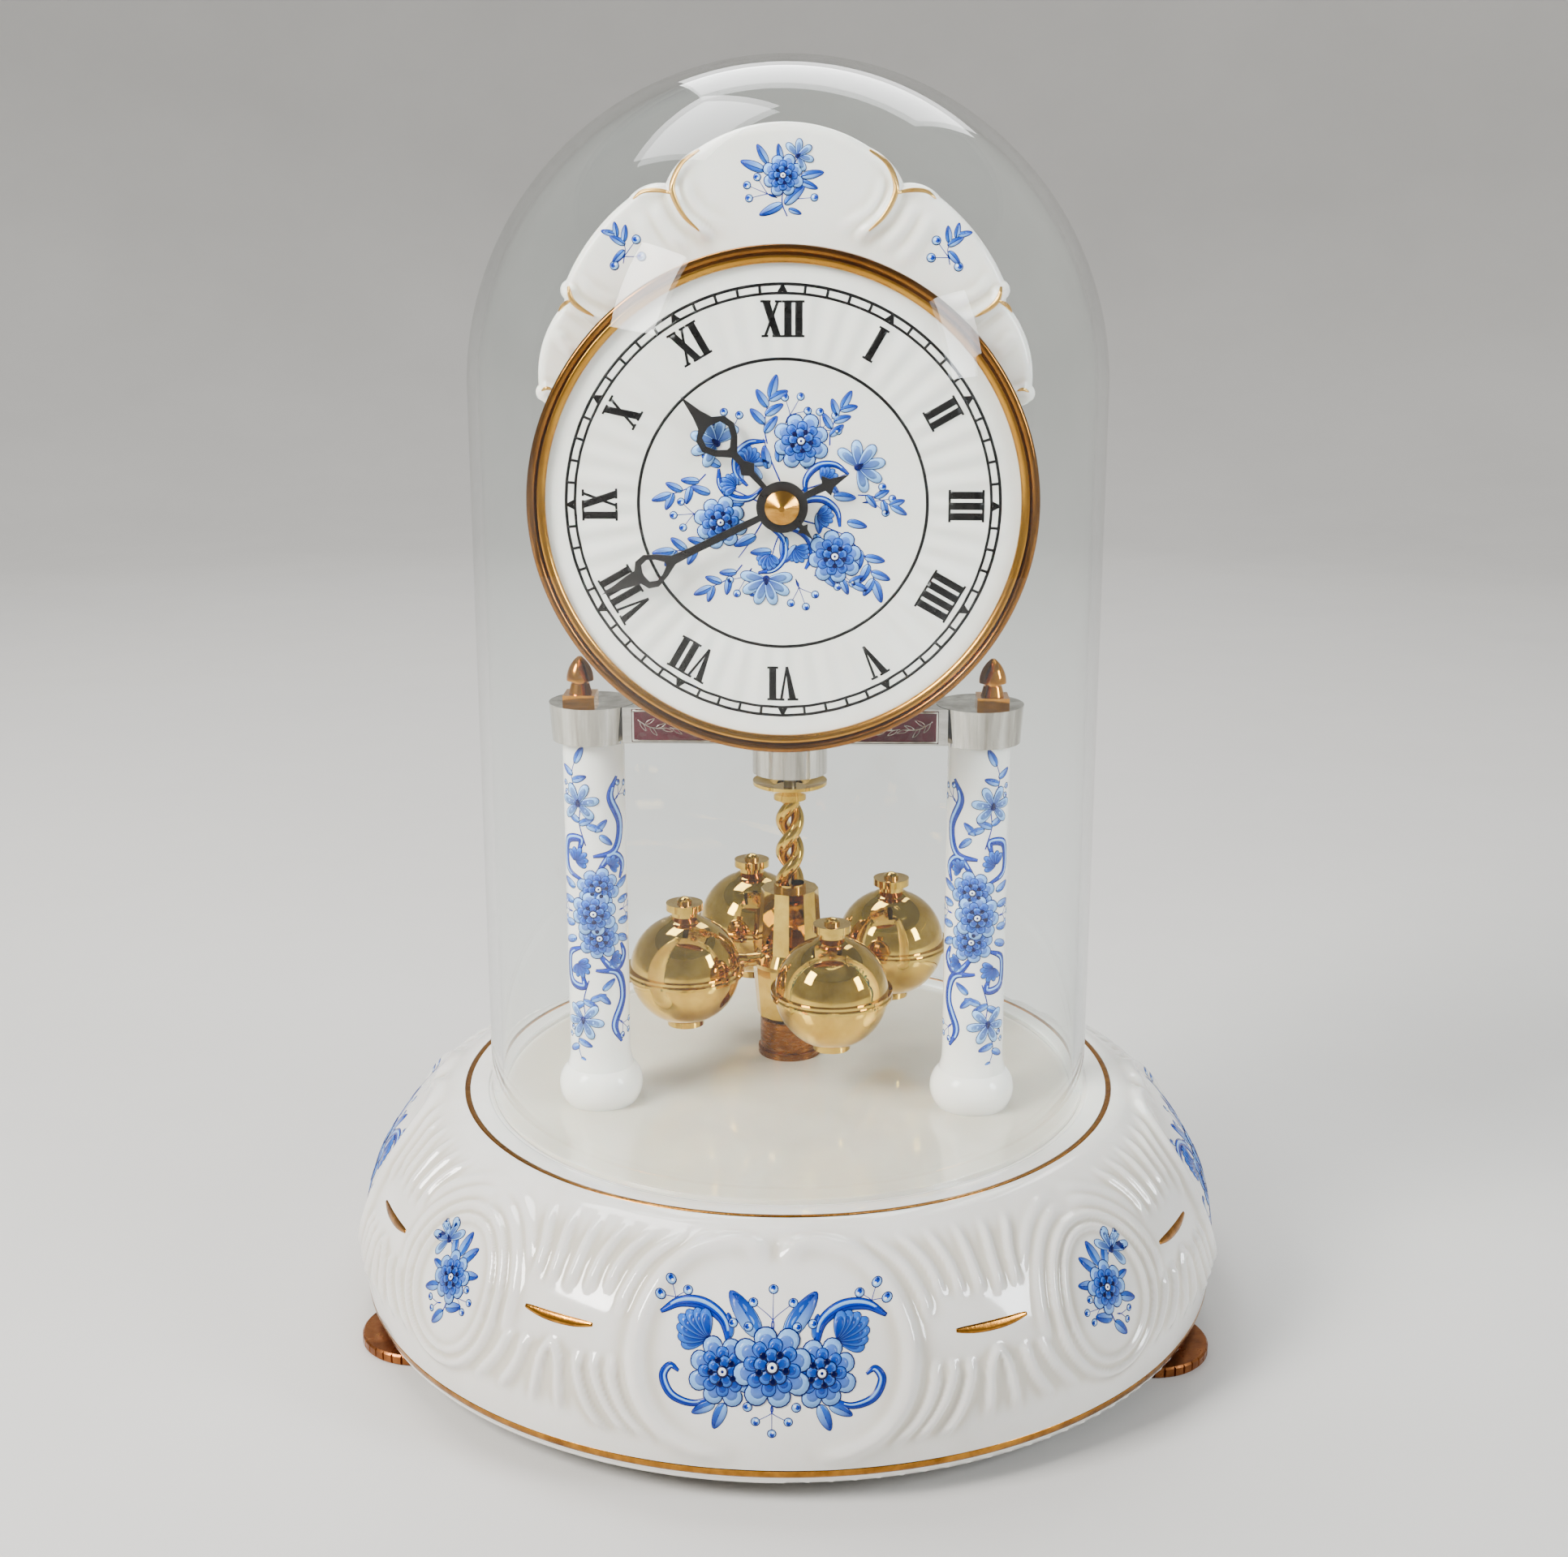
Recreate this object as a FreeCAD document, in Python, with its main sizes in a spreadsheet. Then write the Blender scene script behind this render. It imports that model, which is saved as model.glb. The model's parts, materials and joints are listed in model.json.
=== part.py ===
import FreeCAD, Part
import math
import os
from types import SimpleNamespace

import Sketcher
from FreeCAD import Placement, Rotation, Vector

# Anniversary clock under a glass dome: a glazed porcelain base on levelling feet, two porcelain
# columns, a porcelain dial and crown plate, a battery movement and a rotating four-ball pendulum.
# The origin is the middle of the base on the surface it stands on. +X is right as one faces the
# dial, +Y points away from the viewer and +Z is up. All lengths are millimetres.

DRIVING = {
    # general
    "seat_gap": 0.3,
    "running_gap": 0.05,
    # levelling feet
    "foot_radius": 13.8,
    "foot_thickness": 2.5,
    "foot_chamfer": 0.4,
    "foot_rim_gap": 2.5,
    "foot_ring_inset": 11.0,
    "foot_angle": 67.0,
    "foot_collar_radius": 5.0,
    "foot_collar_height": 1.6,
    "foot_stud_radius": 2.5,
    "foot_stud_reach": 9.0,
    "foot_notch_count": 36.0,
    "foot_notch_depth": 0.5,
    "foot_bush_radius": 4.0,
    "foot_bush_length": 10.0,
    "foot_boss_radius": 7.0,
    "foot_boss_height": 12.0,
    # porcelain base
    "base_height": 46.5,
    "base_swell": 22.5,
    "base_belly_height": 11.0,
    "base_shoulder": 8.5,
    "base_wall": 5.0,
    "base_floor": 6.0,
    "base_round": 1.4,
    # glass dome
    "dome_radius": 70.0,
    "dome_wall": 2.5,
    "dome_headroom": 15.1,
    "dome_groove_depth": 1.0,
    # columns
    "column_spread": 42.75,
    "column_y": -15.5,
    "column_radius": 6.9,
    "column_height": 86.2,
    "column_foot_radius": 9.6,
    "column_foot_height": 13.0,
    "column_foot_round": 4.2,
    "rod_radius": 2.0,
    "rod_hole_gap": 0.3,
    "rod_tail_reach": 1.4,
    "washer_radius": 5.0,
    "washer_thickness": 1.0,
    "nut_flats": 7.0,
    "nut_height": 3.2,
    # column caps and finials
    "cap_radius": 9.0,
    "cap_top_radius": 9.6,
    "cap_height": 8.4,
    "cap_roof": 3.6,
    "finial_offset": 2.65,
    "finial_height": 10.0,
    "finial_radius": 3.0,
    "finial_slab_side": 7.0,
    "finial_slab_height": 1.8,
    "finial_ring_radius": 2.6,
    "finial_ring_height": 2.2,
    "finial_neck_radius": 1.6,
    "finial_neck_height": 0.7,
    "finial_tip_radius": 0.4,
    "finial_pin_radius": 1.2,
    "finial_pin_length": 2.6,
    # bridge between the caps
    "bridge_depth": 13.4,
    "bridge_tongue_half_width": 18.5,
    "bridge_tongue_reach": 26.0,
    "panel_half_length": 33.5,
    "panel_height": 7.4,
    "panel_thickness": 0.6,
    # dial assembly
    "dial_height": 192.2,
    "movement_front_y": -20.5,
    "crown_thickness": 4.5,
    "drum_radius": 51.4,
    "drum_wall": 1.3,
    "drum_back": 2.0,
    "drum_seat_width": 3.4,
    "dial_setback": 4.5,
    "dial_thickness": 3.5,
    "bezel_radius": 52.3,
    "bezel_bore_radius": 48.6,
    "bezel_step_radius": 50.5,
    "bezel_lip": 1.3,
    "bezel_step": 0.7,
    "bezel_skirt": 8.0,
    "crown_rise": 76.0,
    "crown_inner_radius": 31.0,
    "dial_screw_x": 24.0,
    "dial_screw_rise": 27.0,
    "screw_radius": 1.5,
    "screw_head_radius": 2.8,
    "screw_head_height": 1.6,
    "screw_reach": 8.0,
    # hands and their arbors
    "bush_radius": 3.5,
    "bush_bore_radius": 2.45,
    "bush_length": 15.6,
    "bush_nut_radius": 4.6,
    "bush_nut_thickness": 1.1,
    "pipe_radius": 2.4,
    "pipe_bore_radius": 1.35,
    "arbor_radius": 1.3,
    "hand_thickness": 0.5,
    "hand_gap": 0.6,
    "hour_hand_length": 30.4,
    "hour_tail_length": 9.4,
    "hour_hand_angle": 317.2,
    "hour_boss_radius": 5.2,
    "minute_hand_length": 41.5,
    "minute_tail_length": 15.2,
    "minute_hand_angle": 243.8,
    "minute_boss_radius": 5.3,
    "hand_nut_radius": 3.5,
    "hand_nut_height": 2.9,
    # movement
    "case_half_width": 28.5,
    "case_height": 80.0,
    "case_depth": 43.5,
    "case_round": 6.0,
    "back_thickness": 3.5,
    "cell_radius": 7.1,
    "cell_length": 50.0,
    "cell_pip_radius": 2.7,
    "cell_pip_length": 1.2,
    "cell_height": 68.0,
    "contact_thickness": 0.5,
    "finger_room": 6.0,
    "knob_radius": 7.0,
    "knob_height": 5.0,
    "knob_rise": 26.1,
    "knob_stem_radius": 1.6,
    "knob_notch_count": 18.0,
    "knob_notch_radius": 0.6,
    # pendulum drive and pendulum
    "pendulum_y": 14.5,
    "cup_radius": 8.9,
    "cup_wall": 1.0,
    "cup_height": 15.6,
    "spindle_radius": 1.5,
    "spindle_collar_radius": 2.7,
    "spindle_collar_height": 1.6,
    "spindle_bush_radius": 3.2,
    "drive_pocket_radius": 4.2,
    "drive_pocket_depth": 6.0,
    "dish_radius": 8.85,
    "dish_drop": 3.2,
    "dish_rim": 0.8,
    "dish_cup_gap": 2.2,
    "strand_radius": 1.6,
    "strand_spread": 1.85,
    "strand_turns": 1.35,
    "strand_collar_radius": 3.9,
    "strand_collar_height": 1.4,
    "strand_length": 20.8,
    "hub_sides": 12.0,
    "hub_top_radius": 6.9,
    "hub_waist_radius": 7.8,
    "hub_upper_height": 15.4,
    "skirt_radius": 9.4,
    "skirt_height": 3.6,
    "hub_foot_top_radius": 9.0,
    "hub_foot_radius": 7.9,
    "hub_lower_height": 12.6,
    "guide_pin_radius": 1.5,
    "guide_pin_length": 4.2,
    "arm_reach": 26.8,
    "arm_radius": 1.7,
    "arm_flare_radius": 2.9,
    "arm_angle": -67.1,
    "arm_count": 4.0,
    "ball_radius": 13.2,
    "ball_ridge_radius": 14.1,
    "ball_ridge_height": 0.9,
    "ball_ridge_chamfer": 0.3,
    "ball_foot_radius": 4.4,
    "ball_foot_height": 0.6,
    "ball_neck_radius": 4.6,
    "ball_nut_waist_radius": 3.1,
    "ball_nut_radius": 4.4,
    "ball_nut_height": 4.2,
    "ball_nut_brim": 1.7,
    "ball_nut_button_radius": 1.8,
    "ball_nut_button_rise": 0.6,
    "socket_radius": 7.2,
    "socket_flange_radius": 7.7,
    "socket_flange_height": 1.6,
    "socket_height": 9.2,
    "socket_bore_radius": 2.6,
    "socket_bore_depth": 4.6,
    "socket_thread_depth": 4.0,
}

# Crown outline from its top to its lower curl, as shares of the crown's rise above the dial's
# middle: where each arc starts, and the point that it passes through on its way.
crown_start_shares = [(0.228, 0.934), (0.318, 0.843), (0.418, 0.805), (0.592, 0.590),
                      (0.592, 0.537), (0.676, 0.309), (0.658, 0.263)]
crown_through_shares = [(0.287, 0.892), (0.371, 0.838), (0.524, 0.701), (0.609, 0.566),
                        (0.655, 0.441), (0.684, 0.283)]

# Half outlines of the hands as shares of their length: distance from the boss, half width.
hour_blade_shares = [(0.30, 0.022), (0.34, 0.060), (0.40, 0.022), (0.47, 0.026), (0.55, 0.102),
                     (0.63, 0.145), (0.71, 0.128), (0.76, 0.062), (0.84, 0.034)]
hour_loop_shares = [(0.53, 0.012), (0.58, 0.070), (0.64, 0.100), (0.70, 0.082), (0.725, 0.012)]
minute_blade_shares = [(0.20, 0.018), (0.52, 0.020), (0.60, 0.024), (0.66, 0.060), (0.725, 0.088),
                       (0.775, 0.075), (0.80, 0.036), (0.85, 0.030)]
minute_loop_shares = [(0.645, 0.010), (0.68, 0.040), (0.72, 0.058), (0.757, 0.046), (0.768, 0.010)]
tail_shares = [(0.62, 0.055), (0.66, 0.150), (0.74, 0.065)]
tail_root_share = 0.6

doc = FreeCAD.newDocument("DomeClock")
sheet = doc.addObject("Spreadsheet::Sheet", "Sizes")
for row, (name, value) in enumerate(DRIVING.items(), start=1):
    sheet.set("A%d" % row, name)
    sheet.set("B%d" % row, str(value))
    sheet.setAlias("B%d" % row, name)
doc.recompute()


class Size:
    """A number together with the sheet expression that it comes from."""

    def __init__(self, value, text):
        self.value = float(value)
        self.text = text

    def __add__(self, other):
        other = as_size(other)
        return Size(self.value + other.value, "(%s + %s)" % (self.text, other.text))

    def __sub__(self, other):
        other = as_size(other)
        return Size(self.value - other.value, "(%s - %s)" % (self.text, other.text))

    def __rsub__(self, other):
        return as_size(other) - self

    def __mul__(self, other):
        other = as_size(other)
        return Size(self.value * other.value, "(%s * %s)" % (self.text, other.text))

    def __truediv__(self, other):
        other = as_size(other)
        return Size(self.value / other.value, "(%s / %s)" % (self.text, other.text))

    def __neg__(self):
        return Size(-self.value, "(0 - %s)" % self.text)

    __radd__ = __add__
    __rmul__ = __mul__


def as_size(number):
    if isinstance(number, Size):
        return number
    return Size(number, repr(number))


def root(number):
    return Size(math.sqrt(number.value), "sqrt(%s)" % number.text)


def sine(degrees):
    return Size(math.sin(math.radians(degrees.value)), "sin(%s * 1deg)" % degrees.text)


def cosine(degrees):
    return Size(math.cos(math.radians(degrees.value)), "cos(%s * 1deg)" % degrees.text)


def chord(radius, offset):
    """Half width of a circle at a distance from its middle."""
    return root(radius * radius - offset * offset)


def flank(across, along):
    """Radius of an arc that runs straight up at one end and leans in by across over along."""
    return (across * across + along * along) / (across * 2)


s = SimpleNamespace(**{name: Size(value, "Sizes." + name) for name, value in DRIVING.items()})
ZERO = Size(0, "0")

# levels that several pieces share
rim_level = s.foot_thickness + s.foot_rim_gap
floor_level = rim_level + s.base_height
cap_level = floor_level + s.column_height
bridge_level = cap_level + s.seat_gap
cap_top = cap_level + s.cap_height
bridge_height = s.cap_height - s.seat_gap
bridge_front = s.column_y - s.bridge_depth / 2
dome_foot = floor_level - s.dome_groove_depth + s.seat_gap
dome_height = s.dial_height + s.crown_rise + s.dome_headroom - dome_foot

# radii that several pieces share
base_top_radius = s.dome_radius + s.base_shoulder
base_belly_radius = base_top_radius + s.base_swell
foot_ring_radius = base_belly_radius - s.foot_ring_inset

# planes of the dial assembly, from the movement towards the viewer
crown_back_y = s.movement_front_y
drum_back_y = crown_back_y - s.crown_thickness
drum_inner_y = drum_back_y - s.drum_back
dial_back_y = drum_inner_y - s.dial_setback
dial_front_y = dial_back_y - s.dial_thickness
bezel_seat_y = dial_front_y - s.seat_gap
bush_end_y = s.movement_front_y - s.bush_length
hour_hand_y = dial_front_y - s.bush_nut_thickness - s.hand_gap
minute_hand_y = hour_hand_y - s.hand_thickness - s.hand_gap
case_back_y = s.movement_front_y + s.case_depth
rear_y = case_back_y + s.back_thickness

# levels of the pendulum, from the top down
cup_mouth = bridge_level - s.cup_height
dish_level = cup_mouth - s.dish_cup_gap
dish_foot = dish_level - s.dish_drop
strand_top = dish_foot - s.strand_collar_height
strand_foot = strand_top - s.strand_length
hub_top = strand_foot - s.strand_collar_height
skirt_top = hub_top - s.hub_upper_height
skirt_foot = skirt_top - s.skirt_height
ball_level = skirt_top - s.skirt_height / 2
hub_foot = skirt_foot - s.hub_lower_height

made = []


def keep(thing):
    """Notes a finished sub-part for the checks and the export."""
    made.append(thing)
    return thing


def place(thing, x=ZERO, y=ZERO, z=ZERO, rotation=None):
    """Puts a thing where the sheet says."""
    if rotation is not None:
        thing.Placement = Placement(Vector(0, 0, 0), rotation)
    for axis, where in zip("xyz", (x, y, z)):
        thing.setExpression(".Placement.Base.%s" % axis, as_size(where).text)
    return thing


def new_body(label, x=ZERO, y=ZERO, z=ZERO, rotation=None):
    body = doc.addObject("PartDesign::Body", label)
    body.Label = label
    return place(body, x, y, z, rotation)


def new_sketch(body, role):
    """A sketch on one of the body's own origin planes."""
    sketch = body.newObject("Sketcher::SketchObject", body.Label + "_sketch")
    plane = [item for item in body.Origin.OriginFeatures if item.Role == role][0]
    sketch.AttachmentSupport = [(plane, "")]
    sketch.MapMode = "FlatFace"
    return sketch


def drive(sketch, kind, places, length):
    """Adds a dimension and ties it to its expression."""
    index = sketch.addConstraint(Sketcher.Constraint(kind, *places, length.value))
    sketch.setExpression("Constraints[%d]" % index, length.text)


def pin_point(sketch, geometry, position, x, y):
    """Holds a point of the sketch at x, y."""
    if x.text == "0" and y.text == "0":
        sketch.addConstraint(Sketcher.Constraint("Coincident", geometry, position, -1, 1))
        return
    if x.text == "0":
        sketch.addConstraint(Sketcher.Constraint("PointOnObject", geometry, position, -2))
    else:
        drive(sketch, "DistanceX", (-1, 1, geometry, position), x)
    if y.text == "0":
        sketch.addConstraint(Sketcher.Constraint("PointOnObject", geometry, position, -1))
    else:
        drive(sketch, "DistanceY", (-1, 1, geometry, position), y)


def arc_between(start, end, radius, turn):
    """Arc from start to end; turn is 1 where it runs counterclockwise and -1 where clockwise."""
    middle = (start + end) * 0.5
    half = (end - start) * 0.5
    height = math.sqrt(max(radius ** 2 - half.Length ** 2, 0))
    centre = middle + Vector(-half.y, half.x, 0).normalize() * height * turn
    circle = Part.Circle(centre, Vector(0, 0, 1), radius)
    ends = (start, end) if turn > 0 else (end, start)
    angles = [math.atan2(point.y - centre.y, point.x - centre.x) for point in ends]
    return Part.ArcOfCircle(circle, angles[0], angles[1])


def draw_outline(sketch, points, arcs=None):
    """Closed outline through points. arcs gives (radius, turn) for the edge that leaves a point."""
    arcs = arcs or {}
    points = [(as_size(x), as_size(y)) for x, y in points]
    spots = [Vector(x.value, y.value, 0) for x, y in points]
    ends = []
    for index, start in enumerate(spots):
        end = spots[(index + 1) % len(spots)]
        if index in arcs:
            radius, turn = arcs[index]
            geometry = sketch.addGeometry(arc_between(start, end, as_size(radius).value, turn))
            ends.append((geometry, 1, 2) if turn > 0 else (geometry, 2, 1))
        else:
            geometry = sketch.addGeometry(Part.LineSegment(start, end))
            ends.append((geometry, 1, 2))
    for index, (geometry, _, last) in enumerate(ends):
        following, first, _ = ends[(index + 1) % len(ends)]
        sketch.addConstraint(Sketcher.Constraint("Coincident", geometry, last, following, first))
    for (geometry, first, _), (x, y) in zip(ends, points):
        pin_point(sketch, geometry, first, x, y)
    for index, (radius, _) in arcs.items():
        drive(sketch, "Radius", (ends[index][0],), as_size(radius))


def draw_circle(sketch, radius, x=ZERO, y=ZERO):
    x, y = as_size(x), as_size(y)
    circle = Part.Circle(Vector(x.value, y.value, 0), Vector(0, 0, 1), radius.value)
    geometry = sketch.addGeometry(circle)
    pin_point(sketch, geometry, 3, x, y)
    drive(sketch, "Radius", (geometry,), radius)


def revolve(body, role, points, arcs=None):
    """Turns a profile, drawn as radius and distance along the axis, round the sketch's upright."""
    sketch = new_sketch(body, role)
    draw_outline(sketch, points, arcs)
    turn = body.newObject("PartDesign::Revolution", body.Label + "_turn")
    turn.Profile = sketch
    turn.ReferenceAxis = (sketch, ["V_Axis"])
    turn.Angle = 360
    return turn


def turned(label, points, arcs=None, role="XZ_Plane", x=ZERO, y=ZERO, z=ZERO, rotation=None):
    """A body of revolution about an upright axis, or about the hands' axis with XY_Plane."""
    body = new_body(label, x, y, z, rotation)
    revolve(body, role, points, arcs)
    return keep(body)


def sleeve(inner, outer, low, high):
    """Profile of a plain tube."""
    return [(inner, low), (outer, low), (outer, high), (inner, high)]


def rod(radius, low, high):
    """Profile of a plain bar."""
    return [(ZERO, low), (radius, low), (radius, high), (ZERO, high)]


def extrude(body, sketch, length, kind="PartDesign::Pad", flip=False, both=False):
    feature = body.newObject(kind, body.Label + kind[-4:])
    feature.Profile = sketch
    feature.setExpression("Length", as_size(length).text)
    feature.Reversed = flip
    feature.Midplane = both
    return feature


def upright_holes(body, radius, places, depth, above=False):
    """Round holes from the body's own ground plane, downwards or with above upwards."""
    sketch = new_sketch(body, "XY_Plane")
    for x, y in places:
        draw_circle(sketch, radius, x, y)
    return extrude(body, sketch, depth, "PartDesign::Pocket", flip=above)


def pattern_round(body, feature, count, role):
    """Repeats a cut or a pad evenly round one of the body's own axes."""
    ring = body.newObject("PartDesign::PolarPattern", body.Label + "_ring")
    ring.Originals = [feature]
    axis = [item for item in body.Origin.OriginFeatures if item.Role == role][0]
    ring.Axis = (axis, [""])
    ring.Angle = 360
    ring.setExpression("Occurrences", count.text)
    body.Tip = ring
    return ring


def build_base():
    """Porcelain base: one rounded belly, hollow below, with a groove for the dome."""
    rise = s.base_height - s.base_belly_height
    belly = flank(s.base_swell, rise)
    middle = base_belly_radius - belly
    inner = belly - s.base_wall
    ceiling = s.base_height - s.base_floor
    groove_outer = s.dome_radius + s.seat_gap
    groove_inner = s.dome_radius - s.dome_wall - s.seat_gap
    groove_floor = s.base_height - s.dome_groove_depth
    body = new_body("porcelain_base", z=rim_level)
    revolve(body, "XZ_Plane", [
        (ZERO, ceiling),
        (middle + chord(inner, ceiling - s.base_belly_height), ceiling),
        (middle + chord(inner, s.base_belly_height), ZERO),
        (middle + chord(belly, s.base_belly_height - s.base_round) - s.base_round, ZERO),
        (middle + chord(belly, s.base_belly_height - s.base_round), s.base_round),
        (base_top_radius, s.base_height),
        (groove_outer, s.base_height),
        (groove_outer, groove_floor),
        (groove_inner, groove_floor),
        (groove_inner, s.base_height),
        (ZERO, s.base_height),
    ], {1: (inner, -1), 3: (s.base_round, 1), 4: (belly, 1)})
    bosses = new_sketch(body, "XY_Plane")
    for x, y in foot_places():
        draw_circle(bosses, s.foot_boss_radius, x, y)
    extrude(body, bosses, s.foot_boss_height)
    upright_holes(body, s.foot_bush_radius, foot_places(), s.foot_bush_length, above=True)
    rod_holes = [(-s.column_spread, s.column_y), (s.column_spread, s.column_y)]
    upright_holes(body, s.rod_radius + s.rod_hole_gap, rod_holes + [(ZERO, s.pendulum_y)],
                  s.base_height, above=True)
    keep(body)


def foot_places():
    """Two feet towards the front and one at the back."""
    side = foot_ring_radius * sine(s.foot_angle)
    front = -(foot_ring_radius * cosine(s.foot_angle))
    return [(-side, front), (side, front), (ZERO, foot_ring_radius)]


def build_feet():
    """Knurled levelling discs, each with a stud that screws into a brass insert."""
    top = s.foot_thickness
    collar_top = top + s.foot_collar_height
    stud_top = rim_level + s.foot_stud_reach
    names = ["foot_front_left", "foot_front_right", "foot_back"]
    for label, (x, y) in zip(names, foot_places()):
        body = new_body(label, x, y)
        revolve(body, "XZ_Plane", [
            (ZERO, ZERO),
            (s.foot_radius - s.foot_chamfer, ZERO),
            (s.foot_radius, s.foot_chamfer),
            (s.foot_radius, top - s.foot_chamfer),
            (s.foot_radius - s.foot_chamfer, top),
            (s.foot_collar_radius, top),
            (s.foot_collar_radius, collar_top),
            (s.foot_stud_radius, collar_top),
            (s.foot_stud_radius, stud_top),
            (ZERO, stud_top),
        ])
        notch = new_sketch(body, "XY_Plane")
        draw_outline(notch, [
            (s.foot_radius - s.foot_notch_depth, ZERO),
            (s.foot_radius + s.foot_notch_depth, -s.foot_notch_depth),
            (s.foot_radius + s.foot_notch_depth, s.foot_notch_depth),
        ])
        cut = extrude(body, notch, top, "PartDesign::Pocket", flip=True)
        pattern_round(body, cut, s.foot_notch_count, "Z_Axis")
        keep(body)


def build_foot_bushes():
    """Three brass inserts cemented into the porcelain."""
    body = new_body("foot_bushes", z=rim_level)
    sketch = new_sketch(body, "XY_Plane")
    for x, y in foot_places():
        draw_circle(sketch, s.foot_bush_radius, x, y)
        draw_circle(sketch, s.foot_stud_radius + s.running_gap, x, y)
    body.AllowCompound = True
    extrude(body, sketch, s.foot_bush_length)
    keep(body)


def build_dome():
    """Blown glass dome: a straight wall under a half round top."""
    inner = s.dome_radius - s.dome_wall
    shoulder = dome_height - s.dome_radius
    turned("glass_dome", [
        (inner, ZERO),
        (s.dome_radius, ZERO),
        (s.dome_radius, shoulder),
        (ZERO, dome_height),
        (ZERO, dome_height - s.dome_wall),
        (inner, shoulder),
    ], {2: (s.dome_radius, 1), 4: (inner, -1)}, z=dome_foot)


def build_column(side, x):
    """Porcelain column on a bulbous foot, its cap, tie rod and finial."""
    bore = s.rod_radius + s.rod_hole_gap
    swell = s.column_foot_radius - s.column_radius
    neck = s.column_radius + swell / 4
    waist = s.column_foot_height - s.column_foot_round
    turned("column_" + side, [
        (bore, ZERO),
        (s.column_foot_radius - swell / 2, ZERO),
        (s.column_foot_radius, s.column_foot_round),
        (neck, waist),
        (s.column_radius, s.column_foot_height),
        (s.column_radius, s.column_height),
        (bore, s.column_height),
    ], {1: (flank(swell / 2, s.column_foot_round), 1),
        2: (flank(s.column_foot_radius - neck, waist - s.column_foot_round), 1),
        3: (flank(neck - s.column_radius, s.column_foot_height - waist), -1)},
        x=x, y=s.column_y, z=floor_level)
    roof = s.cap_height - s.cap_roof
    pin = s.cap_height - s.finial_pin_length
    cap = new_body("column_cap_" + side, x, s.column_y, cap_level)
    revolve(cap, "XZ_Plane", [
        (s.rod_radius, ZERO),
        (s.cap_radius, ZERO),
        (s.cap_top_radius, s.cap_height),
        (ZERO, s.cap_height),
        (ZERO, roof),
        (s.rod_radius, roof),
    ])
    outward = s.finial_offset * math.copysign(1, x.value)
    hole = upright_holes(cap, s.finial_pin_radius, [(outward, ZERO)], s.finial_pin_length,
                         above=True)
    hole.Profile[0].setExpression(".AttachmentOffset.Base.z", pin.text)
    keep(cap)
    tail = rim_level + s.base_height - s.base_floor
    tail = tail - s.washer_thickness - s.nut_height - s.rod_tail_reach
    turned("tie_rod_" + side, rod(s.rod_radius, tail, cap_level + roof), x=x, y=s.column_y)
    build_finial("finial_" + side, x + outward)


def build_finial(label, x):
    """Brass acorn on a square slab, pinned into the cap."""
    body = new_body(label, x, s.column_y, cap_top)
    side = s.finial_slab_side / 2
    slab = new_sketch(body, "XY_Plane")
    draw_outline(slab, [(-side, -side), (side, -side), (side, side), (-side, side)])
    extrude(body, slab, s.finial_slab_height)
    ring_top = s.finial_slab_height + s.finial_ring_height
    skirt = ring_top + s.finial_neck_height
    lean = s.finial_radius - s.finial_tip_radius
    revolve(body, "XZ_Plane", [
        (ZERO, -s.finial_pin_length),
        (s.finial_pin_radius, -s.finial_pin_length),
        (s.finial_pin_radius, s.finial_slab_height / 2),
        (s.finial_ring_radius, s.finial_slab_height),
        (s.finial_neck_radius + s.finial_tip_radius, ring_top),
        (s.finial_neck_radius, ring_top),
        (s.finial_neck_radius, skirt),
        (s.finial_radius, skirt),
        (s.finial_tip_radius, s.finial_height),
        (ZERO, s.finial_height),
    ], {7: (flank(lean, s.finial_height - skirt), 1)})
    keep(body)


def build_rod_fixings():
    """Washers and nuts that hold the tie rods under the base."""
    washer_level = floor_level - s.base_floor - s.washer_thickness
    places = [-s.column_spread, s.column_spread]
    washers = new_body("tie_rod_washers", y=s.column_y, z=washer_level)
    sketch = new_sketch(washers, "XY_Plane")
    for x in places:
        draw_circle(sketch, s.washer_radius, x)
        draw_circle(sketch, s.rod_radius, x)
    washers.AllowCompound = True
    extrude(washers, sketch, s.washer_thickness)
    keep(washers)
    nuts = new_body("tie_rod_nuts", y=s.column_y, z=washer_level - s.nut_height)
    sketch = new_sketch(nuts, "XY_Plane")
    for x in places:
        draw_polygon(sketch, s.nut_flats / root(as_size(3)), 6, x)
        draw_circle(sketch, s.rod_radius, x)
    nuts.AllowCompound = True
    extrude(nuts, sketch, s.nut_height)
    keep(nuts)


def draw_polygon(sketch, radius, count, x=ZERO, y=ZERO):
    """Regular polygon with its corners on a circle."""
    corners = []
    for step in range(count):
        angle = Size(360 * step / count, "(360 * %d / %d)" % (step, count))
        corners.append((as_size(x) + radius * cosine(angle), as_size(y) + radius * sine(angle)))
    draw_outline(sketch, corners)


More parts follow.
